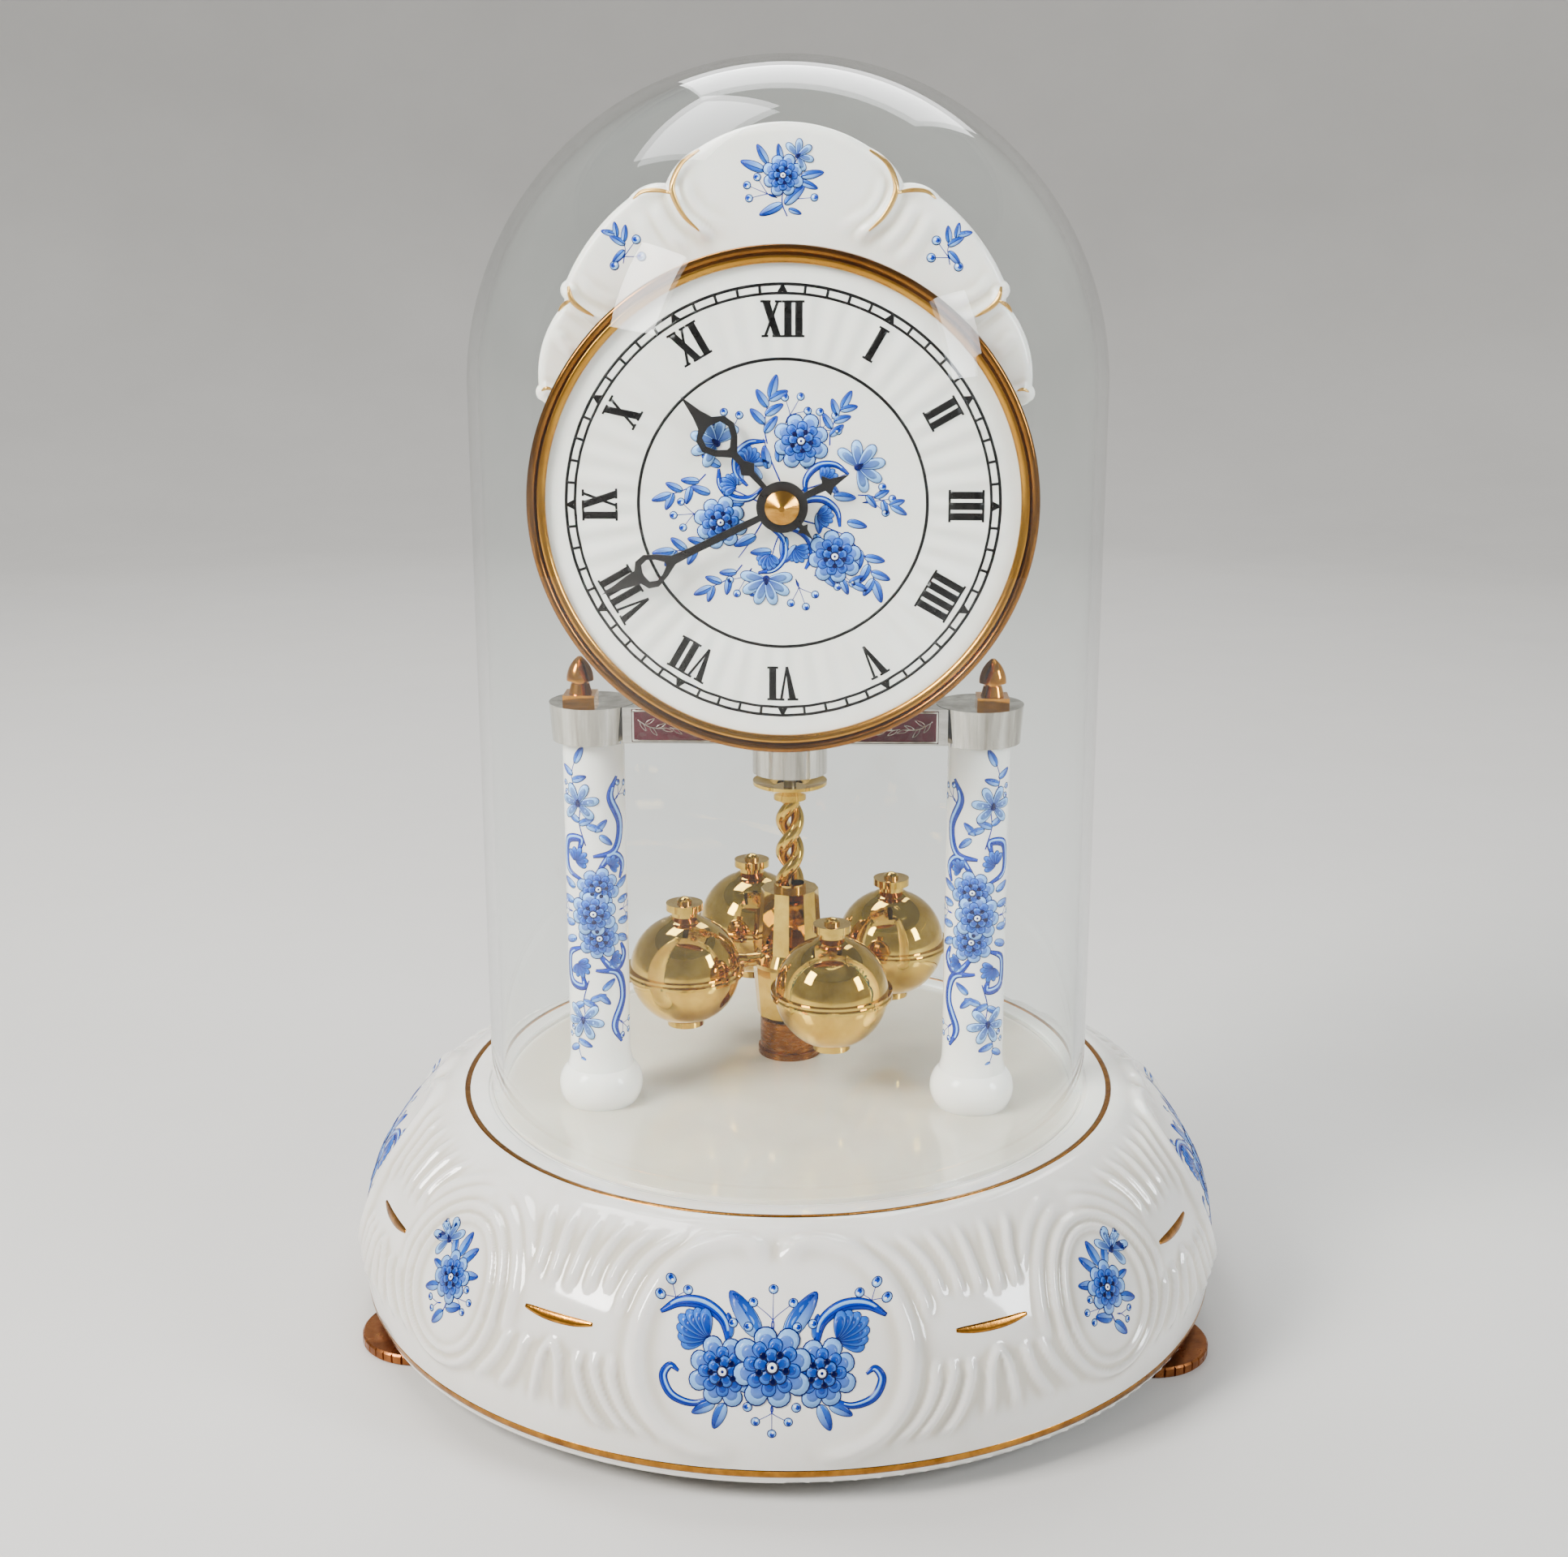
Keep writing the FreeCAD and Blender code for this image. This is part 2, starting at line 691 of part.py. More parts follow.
def build_bridge():
    """Bridge between the caps, with a tongue that carries the movement and the pendulum."""
    body = new_body("bridge", z=bridge_level)
    back = s.column_y + s.bridge_depth / 2
    tongue = s.bridge_tongue_half_width
    plan = new_sketch(body, "XY_Plane")
    draw_outline(plan, [
        (-s.column_spread, bridge_front),
        (s.column_spread, bridge_front),
        (s.column_spread, back),
        (tongue, back),
        (tongue, s.bridge_tongue_reach),
        (-tongue, s.bridge_tongue_reach),
        (-tongue, back),
        (-s.column_spread, back),
    ])
    extrude(body, plan, bridge_height)
    ends = [(-s.column_spread, s.column_y), (s.column_spread, s.column_y)]
    upright_holes(body, s.cap_top_radius + s.seat_gap, ends, bridge_height, above=True)
    upright_holes(body, s.spindle_bush_radius, [(ZERO, s.pendulum_y)], bridge_height, above=True)
    upright_holes(body, s.screw_radius, bridge_screw_places(), bridge_height, above=True)
    margin = (bridge_height - s.panel_height) / 2
    recess = new_sketch(body, "XZ_Plane")
    recess.setExpression(".AttachmentOffset.Base.z", (-bridge_front).text)
    draw_outline(recess, [
        (-s.panel_half_length, margin),
        (s.panel_half_length, margin),
        (s.panel_half_length, margin + s.panel_height),
        (-s.panel_half_length, margin + s.panel_height),
    ])
    extrude(body, recess, s.panel_thickness, "PartDesign::Pocket")
    keep(body)
    panel = doc.addObject("Part::Box", "bridge_panel")
    panel.Label = "bridge_panel"
    panel.setExpression("Length", (s.panel_half_length * 2).text)
    panel.setExpression("Width", s.panel_thickness.text)
    panel.setExpression("Height", s.panel_height.text)
    keep(place(panel, -s.panel_half_length, bridge_front, bridge_level + margin))


def bridge_screw_places():
    side = s.bridge_tongue_half_width - s.screw_head_radius * 2
    return [(-side, s.pendulum_y), (side, s.pendulum_y)]


def build_bridge_screws():
    """Two screws that pull the movement down on the bridge."""
    body = new_body("bridge_screws", z=bridge_level - s.screw_head_height)
    heads = new_sketch(body, "XY_Plane")
    for x, y in bridge_screw_places():
        draw_circle(heads, s.screw_head_radius, x, y)
    body.AllowCompound = True
    extrude(body, heads, s.screw_head_height)
    shanks = new_sketch(body, "XY_Plane")
    for x, y in bridge_screw_places():
        draw_circle(shanks, s.screw_radius, x, y)
    extrude(body, shanks, s.screw_head_height + bridge_height + s.screw_reach)
    keep(body)


def build_movement():
    """Moulded battery movement, with the cell bay open at the back."""
    width = s.case_half_width
    body = new_body("movement_case", z=cap_top)
    plan = new_sketch(body, "XY_Plane")
    draw_outline(plan, [(-width, s.movement_front_y), (width, s.movement_front_y),
                        (width, case_back_y), (-width, case_back_y)])
    block = extrude(body, plan, s.case_height)
    doc.recompute()
    edges = upright_edges(block.Shape)
    fillet = body.newObject("PartDesign::Fillet", "movement_case_round")
    fillet.Base = (block, edges)
    fillet.setExpression("Radius", s.case_round.text)
    upright_holes(body, s.drive_pocket_radius, [(ZERO, s.pendulum_y)], s.drive_pocket_depth,
                  above=True)
    upright_holes(body, s.screw_radius, bridge_screw_places(), s.screw_reach, above=True)
    depth_holes(body, s.bush_radius, [(ZERO, s.dial_height - cap_top)], s.movement_front_y,
                s.screw_reach)
    depth_holes(body, s.screw_radius, dial_screw_places(cap_top), s.movement_front_y,
                s.screw_reach)
    knob = [(ZERO, s.knob_rise)]
    depth_holes(body, s.knob_stem_radius + s.running_gap, knob, case_back_y - s.screw_reach,
                s.screw_reach)
    cut_bay(body, case_back_y)
    keep(body)
    back = new_body("movement_back", z=cap_top)
    plate = new_sketch(back, "XY_Plane")
    draw_outline(plate, [(-width, case_back_y), (width, case_back_y), (width, rear_y),
                         (-width, rear_y)])
    slab = extrude(back, plate, s.case_height)
    doc.recompute()
    fillet = back.newObject("PartDesign::Fillet", "movement_back_round")
    fillet.Base = (slab, upright_edges(slab.Shape, beyond=(case_back_y + rear_y).value / 2))
    fillet.setExpression("Radius", (s.back_thickness / 2).text)
    depth_holes(back, s.knob_stem_radius + s.running_gap, knob, case_back_y, s.back_thickness)
    cut_bay(back, rear_y)
    keep(back)


def upright_edges(shape, beyond=None):
    """Names of the upright edges, all of them or only those further back than beyond."""
    names = []
    for number, edge in enumerate(shape.Edges, start=1):
        box = edge.BoundBox
        straight_up = box.XLength + box.YLength < Part.Precision.confusion() * 100
        if straight_up and (beyond is None or box.YMin > beyond):
            names.append("Edge%d" % number)
    return names


def depth_holes(body, radius, places, start_y, depth):
    """Round holes that run away from the viewer from the plane at start_y."""
    sketch = new_sketch(body, "XZ_Plane")
    sketch.setExpression(".AttachmentOffset.Base.z", (-as_size(start_y)).text)
    for x, z in places:
        draw_circle(sketch, radius, x, z)
    return extrude(body, sketch, depth, "PartDesign::Pocket")


def cell_level():
    return cap_top + s.cell_height


def bay_mouth_y():
    return rear_y - s.cell_radius - s.seat_gap


def cut_bay(body, open_y):
    """Room for the cell, its contacts and the fingers that lift it out."""
    half = s.cell_length / 2 + s.cell_pip_length + s.seat_gap + s.contact_thickness
    reach = s.cell_radius + s.seat_gap
    sketch = new_sketch(body, "XZ_Plane")
    sketch.setExpression(".AttachmentOffset.Base.z", (-open_y).text)
    draw_outline(sketch, [
        (-half, s.cell_height - reach - s.finger_room),
        (half, s.cell_height - reach - s.finger_room),
        (half, s.cell_height + reach),
        (-half, s.cell_height + reach),
    ])
    extrude(body, sketch, open_y - bay_mouth_y() + reach, "PartDesign::Pocket", flip=True)


def build_cell():
    """Round dry cell lying across the bay, with its two spring plates."""
    end = s.cell_length / 2
    tip = end + s.cell_pip_length
    turned("battery_cell", [
        (ZERO, -end), (s.cell_radius, -end), (s.cell_radius, end), (s.cell_pip_radius, end),
        (s.cell_pip_radius, tip), (ZERO, tip),
    ], y=bay_mouth_y(), z=cell_level(), rotation=Rotation(Vector(0, 1, 0), 90))
    outside = tip + s.seat_gap
    half = s.cell_radius * 3 / 4
    body = new_body("battery_contacts", y=bay_mouth_y(), z=cell_level() - half)
    sketch = new_sketch(body, "XY_Plane")
    for side in (-1, 1):
        inner = outside * side
        outer = (outside + s.contact_thickness) * side
        corners = [(inner, -half), (outer, -half), (outer, half), (inner, half)]
        draw_outline(sketch, corners)
    body.AllowCompound = True
    extrude(body, sketch, half * 2)
    keep(body)


def build_knob():
    """Setting knob on the back of the movement."""
    body = new_body("setting_knob", y=rear_y + s.seat_gap, z=cap_top + s.knob_rise)
    stem_end = -(s.seat_gap + s.back_thickness + s.screw_reach - s.seat_gap)
    revolve(body, "XY_Plane", [
        (ZERO, stem_end),
        (s.knob_stem_radius, stem_end),
        (s.knob_stem_radius, ZERO),
        (s.knob_radius, ZERO),
        (s.knob_radius, s.knob_height - s.foot_chamfer),
        (s.knob_radius - s.foot_chamfer, s.knob_height),
        (ZERO, s.knob_height),
    ])
    notch = new_sketch(body, "XZ_Plane")
    draw_circle(notch, s.knob_notch_radius, s.knob_radius)
    cut = extrude(body, notch, s.knob_height, "PartDesign::Pocket")
    pattern_round(body, cut, s.knob_notch_count, "Y_Axis")
    keep(body)


def dial_screw_places(level):
    rise = s.dial_height + s.dial_screw_rise - level
    return [(-s.dial_screw_x, rise), (s.dial_screw_x, rise)]


def build_dial():
    """Drum, porcelain dial, bezel and the screws that clamp them with the crown plate."""
    seat = s.drum_radius - s.drum_seat_width
    bore = s.bush_radius + s.running_gap
    drum = new_body("dial_drum", z=s.dial_height)
    revolve(drum, "XY_Plane", [
        (bore, drum_back_y),
        (s.drum_radius, drum_back_y),
        (s.drum_radius, bezel_seat_y),
        (s.drum_radius - s.drum_wall, bezel_seat_y),
        (s.drum_radius - s.drum_wall, dial_back_y),
        (seat, dial_back_y),
        (seat, drum_inner_y),
        (bore, drum_inner_y),
    ])
    depth_holes(drum, s.screw_radius, dial_screw_places(s.dial_height), drum_inner_y, s.drum_back)
    keep(drum)
    edge = s.drum_radius - s.drum_wall - s.seat_gap
    turned("dial_plate", [
        (bore, dial_back_y),
        (edge, dial_back_y),
        (edge, dial_front_y + s.base_round),
        (edge - s.base_round, dial_front_y),
        (bore, dial_front_y),
    ], {2: (s.base_round, -1)}, role="XY_Plane", z=s.dial_height)
    lip_y = bezel_seat_y - s.bezel_lip
    step_y = lip_y - s.bezel_step
    skirt = s.drum_radius + s.running_gap
    turned("bezel_ring", [
        (s.bezel_bore_radius, bezel_seat_y),
        (skirt, bezel_seat_y),
        (skirt, bezel_seat_y + s.bezel_skirt),
        (s.bezel_radius, bezel_seat_y + s.bezel_skirt),
        (s.bezel_radius, lip_y),
        (s.bezel_radius - s.bezel_step, step_y),
        (s.bezel_step_radius, step_y),
        (s.bezel_step_radius, lip_y),
        (s.bezel_bore_radius, bezel_seat_y - s.bezel_lip / 2),
    ], {4: (s.bezel_step, -1)}, role="XY_Plane", z=s.dial_height)
    screws = new_body("dial_screws", z=s.dial_height)
    heads = new_sketch(screws, "XZ_Plane")
    heads.setExpression(".AttachmentOffset.Base.z", (-drum_inner_y).text)
    shanks = new_sketch(screws, "XZ_Plane")
    shanks.setExpression(".AttachmentOffset.Base.z", (-drum_inner_y).text)
    for x, z in dial_screw_places(s.dial_height):
        draw_circle(heads, s.screw_head_radius, x, z)
        draw_circle(shanks, s.screw_radius, x, z)
    screws.AllowCompound = True
    extrude(screws, heads, s.screw_head_height)
    extrude(screws, shanks, s.drum_back + s.crown_thickness + s.screw_reach, flip=True)
    keep(screws)


def build_crown():
    """Scalloped porcelain plate that stands up behind the dial."""
    body = new_body("crown_plate", z=s.dial_height)
    outline = new_sketch(body, "XZ_Plane")
    outline.setExpression(".AttachmentOffset.Base.z", (-crown_back_y).text)
    right = [(s.crown_rise * x, s.crown_rise * z) for x, z in crown_start_shares]
    through = [(s.crown_rise * x, s.crown_rise * z) for x, z in crown_through_shares]
    foot_x, foot_z = right[-1]
    reach = root(foot_x * foot_x + foot_z * foot_z)
    inner = (s.crown_inner_radius * foot_x / reach, s.crown_inner_radius * foot_z / reach)
    points = [(-x, z) for x, z in [inner] + right[::-1]] + right + [inner]
    top = arc_radius(points[len(right)], (ZERO, s.crown_rise), right[0])
    sides = [arc_radius(right[k], through[k], right[k + 1]) for k in range(len(through))]
    count = len(right)
    arcs = {count: (top, -1), 2 * count + 1: (s.crown_inner_radius, 1)}
    for k, radius in enumerate(sides):
        arcs[count + 1 + k] = (radius, -1)
        arcs[count - 1 - k] = (radius, -1)
    draw_outline(outline, points, arcs)
    extrude(body, outline, s.crown_thickness)
    depth_holes(body, s.screw_radius, dial_screw_places(s.dial_height), drum_back_y,
                s.crown_thickness)
    keep(body)


def arc_radius(start, through, end):
    """Radius of the arc through three places."""
    def distance(a, b):
        across = as_size(a[0]) - b[0]
        along = as_size(a[1]) - b[1]
        return root(across * across + along * along)

    first, second, third = distance(start, through), distance(through, end), distance(start, end)
    half = (first + second + third) / 2
    area = root(half * (half - first) * (half - second) * (half - third))
    return first * second * third / (area * 4)


def build_arbors():
    """Threaded bush with its nut, hour pipe and minute arbor."""
    root_y = s.movement_front_y + s.screw_reach
    turned("hand_bush", sleeve(s.bush_bore_radius, s.bush_radius, bush_end_y, root_y),
           role="XY_Plane", z=s.dial_height)
    turned("dial_nut", sleeve(s.bush_radius, s.bush_nut_radius,
                              dial_front_y - s.bush_nut_thickness, dial_front_y),
           role="XY_Plane", z=s.dial_height)
    turned("hour_pipe", sleeve(s.pipe_bore_radius, s.pipe_radius,
                               hour_hand_y - s.hand_thickness, root_y),
           role="XY_Plane", z=s.dial_height)
    nut_y = minute_hand_y - s.hand_thickness
    turned("minute_arbor", rod(s.arbor_radius, nut_y - s.hand_nut_height / 2, root_y),
           role="XY_Plane", z=s.dial_height)
    turned("hand_nut", [
        (s.arbor_radius, nut_y),
        (s.hand_nut_radius, nut_y),
        (s.hand_nut_radius, nut_y - s.hand_nut_height / 3),
        (s.arbor_radius / 2, nut_y - s.hand_nut_height),
        (ZERO, nut_y - s.hand_nut_height),
        (ZERO, nut_y - s.hand_nut_height / 2),
        (s.arbor_radius, nut_y - s.hand_nut_height / 2),
    ], role="XY_Plane", z=s.dial_height)


def build_hand(label, length, tail, boss, bore, hand_y, angle, blade, loop):
    """Open-loop hand with an arrow-shaped tail, drawn towards twelve and turned to its hour."""
    turn = Rotation(Vector(0, 1, 0), angle.value)
    body = new_body(label, y=hand_y, z=s.dial_height, rotation=turn)
    body.setExpression(".Placement.Rotation.Angle", "%s * 1deg" % angle.text)
    shape = new_sketch(body, "XZ_Plane")
    up = [(length * across, length * along) for along, across in blade]
    down = [(tail * across, -(tail * along)) for along, across in tail_shares]
    right = [(tail * tail_shares[0][1] * tail_root_share, ZERO)] + up
    points = [(-x, z) for x, z in right] + [(ZERO, length)] + right[::-1]
    points += down + [(ZERO, -tail)] + [(-x, z) for x, z in down[::-1]]
    draw_outline(shape, points)
    extrude(body, shape, s.hand_thickness)
    disc = new_sketch(body, "XZ_Plane")
    draw_circle(disc, boss)
    extrude(body, disc, s.hand_thickness)
    hole = new_sketch(body, "XZ_Plane")
    draw_circle(hole, bore)
    inside = [(length * across, length * along) for along, across in loop]
    draw_outline(hole, [(-x, z) for x, z in inside] + inside[::-1])
    extrude(body, hole, s.hand_thickness, "PartDesign::Pocket", flip=True)
    keep(body)


def build_drive():
    """Chromed shroud, bush and spindle that carry the pendulum."""
    inner = s.cup_radius - s.cup_wall
    turned("suspension_cup", [
        (s.spindle_bush_radius, bridge_level - s.cup_wall),
        (inner, bridge_level - s.cup_wall),
        (inner, cup_mouth),
        (s.cup_radius, cup_mouth),
        (s.cup_radius, bridge_level),
        (s.spindle_bush_radius, bridge_level),
    ], y=s.pendulum_y)
    bore = s.spindle_radius + s.running_gap
    turned("spindle_bush", sleeve(bore, s.spindle_bush_radius, bridge_level - s.cup_wall * 2,
                                  cap_top), y=s.pendulum_y)
    collar = cap_top + s.running_gap
    turned("pendulum_spindle", [
        (ZERO, dish_foot),
        (s.spindle_radius, dish_foot),
        (s.spindle_radius, collar),
        (s.spindle_collar_radius, collar),
        (s.spindle_collar_radius, collar + s.spindle_collar_height),
        (s.spindle_radius, collar + s.spindle_collar_height),
        (s.spindle_radius, cap_top + s.drive_pocket_depth - s.seat_gap),
        (ZERO, cap_top + s.drive_pocket_depth - s.seat_gap),
    ], y=s.pendulum_y)
    turned("pendulum_dish", [
        (s.spindle_radius, dish_foot),
        (s.strand_collar_radius, dish_foot),
        (s.dish_radius, dish_level - s.dish_rim),
        (s.dish_radius, dish_level),
        (s.strand_collar_radius, dish_foot + s.dish_rim * 2),
        (s.spindle_radius, dish_foot + s.dish_rim * 2),
    ], y=s.pendulum_y)


def build_strands():
    """Open twist of two strands between two collars."""
    pieces = []
    pitch = s.strand_length / s.strand_turns
    for start in (0, 180):
        spine = doc.addObject("Part::Helix", "strand_spine_%d" % start)
        spine.setExpression("Pitch", pitch.text)
        spine.setExpression("Height", s.strand_length.text)
        spine.setExpression("Radius", s.strand_spread.text)
        section = doc.addObject("Part::Circle", "strand_section_%d" % start)
        section.setExpression("Radius", s.strand_radius.text)
        slope = Vector(0, 2 * math.pi * s.strand_spread.value, pitch.value)
        tilt = Rotation(Vector(0, 0, 1), slope)
        section.Placement = Placement(Vector(s.strand_spread.value, 0, 0), tilt)
        strand = doc.addObject("Part::Sweep", "strand_%d" % start)
        strand.Sections = [section]
        strand.Spine = (spine, ["Edge1"])
        strand.Solid = True
        strand.Frenet = True
        place(strand, y=s.pendulum_y, z=strand_foot, rotation=Rotation(Vector(0, 0, 1), start))
        pieces.append(strand)
    for name, level in (("foot", hub_top), ("head", strand_top)):
        collar = doc.addObject("Part::Cylinder", "strand_collar_" + name)
        collar.setExpression("Radius", s.strand_collar_radius.text)
        collar.setExpression("Height", s.strand_collar_height.text)
        place(collar, y=s.pendulum_y, z=level)
        pieces.append(collar)
    twist = doc.addObject("Part::MultiFuse", "pendulum_rod")
    twist.Label = "pendulum_rod"
    twist.Shapes = pieces
    keep(twist)


def facet_loft(body, low, high, low_radius, high_radius):
    """Faceted cone between two regular polygons."""
    rings = []
    for level, radius in ((low, low_radius), (high, high_radius)):
        ring = new_sketch(body, "XY_Plane")
        ring.setExpression(".AttachmentOffset.Base.z", as_size(level).text)
        draw_polygon(ring, radius, int(s.hub_sides.value))
        rings.append(ring)
    loft = body.newObject("PartDesign::AdditiveLoft", body.Label + "_loft")
    loft.Profile = rings[0]
    loft.Sections = [rings[1]]
    loft.Ruled = True
    return loft


def build_hub():
    """Faceted hub with its skirt and the guide pin that drops into the socket."""
    body = new_body("pendulum_hub", y=s.pendulum_y)
    facet_loft(body, skirt_top, hub_top, s.hub_waist_radius, s.hub_top_radius)
    facet_loft(body, hub_foot, skirt_foot, s.hub_foot_radius, s.hub_foot_top_radius)
    revolve(body, "XZ_Plane", [
        (ZERO, skirt_foot),
        (s.hub_foot_top_radius, skirt_foot),
        (s.skirt_radius, skirt_foot + s.skirt_height / 3),
        (s.hub_waist_radius, skirt_top),
        (ZERO, skirt_top),
    ])
    revolve(body, "XZ_Plane", rod(s.guide_pin_radius, hub_foot - s.guide_pin_length, hub_foot))
    keep(body)


def ball_upper_profile():
    """Upper half with its ridge and a short neck for the nut, round the ball's middle."""
    ridge, height, edge = s.ball_ridge_radius, s.ball_ridge_height, s.ball_ridge_chamfer
    neck = chord(s.ball_radius, s.ball_neck_radius)
    return [
        (ZERO, ZERO),
        (ridge - edge, ZERO),
        (ridge, edge),
        (ridge, height),
        (chord(s.ball_radius, height), height),
        (s.ball_neck_radius, neck),
        (ZERO, neck),
    ], {4: (s.ball_radius, 1)}


def ball_lower_profile():
    """Lower half with its ridge and a small foot disc."""
    ridge, height, edge = s.ball_ridge_radius, s.ball_ridge_height, s.ball_ridge_chamfer
    foot = -chord(s.ball_radius, s.ball_foot_radius)
    sole = -(s.ball_radius + s.ball_foot_height)
    return [
        (ZERO, sole),
        (s.ball_foot_radius, sole),
        (s.ball_foot_radius, foot),
        (chord(s.ball_radius, height), -height),
        (ridge, -height),
        (ridge, -edge),
        (ridge - edge, ZERO),
        (ZERO, ZERO),
    ], {2: (s.ball_radius, 1)}


def ball_nut_profile():
    """Waisted nut with a thick brim and a domed button on it, from the neck up."""
    seat = chord(s.ball_radius, s.ball_neck_radius)
    brim = seat + s.ball_nut_height - s.ball_nut_brim
    waist = seat + s.ball_nut_height / 4
    top = seat + s.ball_nut_height
    button = top + s.ball_nut_button_rise
    return [
        (ZERO, seat),
        (s.ball_neck_radius, seat),
        (s.ball_nut_waist_radius, waist),
        (s.ball_nut_waist_radius, brim),
        (s.ball_nut_radius, brim),
        (s.ball_nut_radius, top),
        (s.ball_nut_button_radius, top),
        (s.ball_nut_button_radius, button),
        (ZERO, button + s.ball_nut_button_radius / 2),
    ], {7: (s.ball_nut_button_radius * 5 / 4, 1)}


def build_balls():
    """Four two-part balls on the arms, and the arms cut to seat on them."""
    count = int(s.arm_count.value)
    envelopes = []
    for number in range(count):
        angle = s.arm_angle + Size(number, str(number)) * 360 / s.arm_count
        x = s.arm_reach * cosine(angle)
        y = s.pendulum_y + s.arm_reach * sine(angle)
        facing = Rotation(Vector(0, 0, 1), angle.value)
        for part, profile in (("upper", ball_upper_profile()), ("lower", ball_lower_profile()),
                              ("nut", ball_nut_profile())):
            body = turned("ball_%d_%s" % (number + 1, part), profile[0], profile[1],
                          x=x, y=y, z=ball_level, rotation=facing)
            if part != "nut":
                envelopes.append(body)
    doc.recompute()
    build_arms(count, envelopes)


def build_arms(count, balls):
    """Cross of round arms, flared where each meets its ball, round the hub's skirt."""
    bars = []
    for number in range(count):
        angle = s.arm_angle.value + 360.0 * number / count
        level = Rotation(Vector(0, 0, 1), angle).multiply(Rotation(Vector(0, 1, 0), 90))
        bar = doc.addObject("Part::Cylinder", "arm_bar_%d" % number)
        bar.setExpression("Radius", s.arm_radius.text)
        bar.setExpression("Height", s.arm_reach.text)
        flare = doc.addObject("Part::Cone", "arm_flare_%d" % number)
        flare.setExpression("Radius1", s.arm_radius.text)
        flare.setExpression("Radius2", s.arm_flare_radius.text)
        flare.setExpression("Height", (s.ball_radius / 3).text)
        start = s.arm_reach - s.ball_radius - s.ball_radius / 6
        place(bar, y=s.pendulum_y, z=ball_level, rotation=level)
        turned_by = s.arm_angle + Size(number, str(number)) * 360 / s.arm_count
        place(flare, start * cosine(turned_by), s.pendulum_y + start * sine(turned_by),
              ball_level, rotation=level)
        bars += [bar, flare]
    cross = doc.addObject("Part::MultiFuse", "arm_cross")
    cross.Shapes = bars
    hub = [thing for thing in made if thing.Label == "pendulum_hub"][0]
    room = doc.addObject("Part::MultiFuse", "arm_room")
    room.Shapes = balls + [hub]
    arms = doc.addObject("Part::Cut", "pendulum_arms")
    arms.Label = "pendulum_arms"
    arms.Base = cross
    arms.Tool = room
    keep(arms)


def build_socket():
    """Copper-coloured socket on the base that steadies the pendulum, and its screw."""
    body = new_body("pendulum_socket", y=s.pendulum_y, z=floor_level)
    revolve(body, "XZ_Plane", [
        (ZERO, s.socket_thread_depth),
        (s.rod_radius, s.socket_thread_depth),
        (s.rod_radius, ZERO),
        (s.socket_flange_radius, ZERO),
        (s.socket_flange_radius, s.socket_flange_height),
        (s.socket_radius, s.socket_flange_height),
        (s.socket_radius, s.socket_height),
        (s.socket_bore_radius, s.socket_height),
        (s.socket_bore_radius, s.socket_height - s.socket_bore_depth),
        (ZERO, s.socket_height - s.socket_bore_depth),
    ])
    keep(body)
    head = -(s.base_floor + s.washer_thickness)
    turned("socket_screw", [
        (ZERO, head - s.nut_height),
        (s.washer_radius, head - s.nut_height),
        (s.washer_radius, head + s.washer_thickness),
        (s.rod_radius, head + s.washer_thickness),
        (s.rod_radius, s.socket_thread_depth),
        (ZERO, s.socket_thread_depth),
    ], y=s.pendulum_y, z=floor_level)


def check_everything():
    """Stops on any object that failed to compute and on any sub-part without a sound shape."""
    for item in doc.Objects:
        if "Invalid" in item.State or "Error" in item.State:
            raise RuntimeError("%s did not compute: %s" % (item.Label, item.State))
    for item in made:
        if item.Shape.isNull() or not item.Shape.isValid():
            raise RuntimeError("%s has no sound shape" % item.Label)


build_base()
build_feet()
build_foot_bushes()
build_dome()
build_column("left", -s.column_spread)
build_column("right", s.column_spread)
build_rod_fixings()
build_bridge()
build_bridge_screws()
build_movement()
build_cell()
build_knob()
build_dial()
build_crown()
build_arbors()
build_hand("hour_hand", s.hour_hand_length, s.hour_tail_length, s.hour_boss_radius, s.pipe_radius,
           hour_hand_y, s.hour_hand_angle, hour_blade_shares, hour_loop_shares)
build_hand("minute_hand", s.minute_hand_length, s.minute_tail_length, s.minute_boss_radius,
           s.arbor_radius, minute_hand_y, s.minute_hand_angle, minute_blade_shares,
           minute_loop_shares)
build_drive()
build_strands()
build_hub()
build_balls()
build_socket()
doc.recompute()
check_everything()

os.makedirs("parts", exist_ok=True)
for item in made:
    item.Shape.exportStep(os.path.join("parts", item.Label + ".step"))
print("%d sub-parts written" % len(made))
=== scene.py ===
import json
import math

import bmesh
import bpy
import numpy as np
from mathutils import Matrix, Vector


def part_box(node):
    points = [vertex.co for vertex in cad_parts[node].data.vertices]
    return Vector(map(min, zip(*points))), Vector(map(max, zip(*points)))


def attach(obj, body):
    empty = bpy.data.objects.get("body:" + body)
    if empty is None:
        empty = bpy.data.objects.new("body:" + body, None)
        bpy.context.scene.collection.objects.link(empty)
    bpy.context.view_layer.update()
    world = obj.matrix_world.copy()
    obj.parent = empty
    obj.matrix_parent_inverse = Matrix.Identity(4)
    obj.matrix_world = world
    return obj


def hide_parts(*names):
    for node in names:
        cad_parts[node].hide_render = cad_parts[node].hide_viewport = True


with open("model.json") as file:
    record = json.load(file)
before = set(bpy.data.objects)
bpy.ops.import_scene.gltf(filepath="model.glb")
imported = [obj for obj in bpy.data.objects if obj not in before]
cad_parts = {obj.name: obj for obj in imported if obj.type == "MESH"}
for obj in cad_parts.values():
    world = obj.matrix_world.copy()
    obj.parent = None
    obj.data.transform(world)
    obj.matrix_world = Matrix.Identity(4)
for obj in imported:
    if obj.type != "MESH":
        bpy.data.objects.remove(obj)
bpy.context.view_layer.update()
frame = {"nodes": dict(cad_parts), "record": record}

MM = 0.001
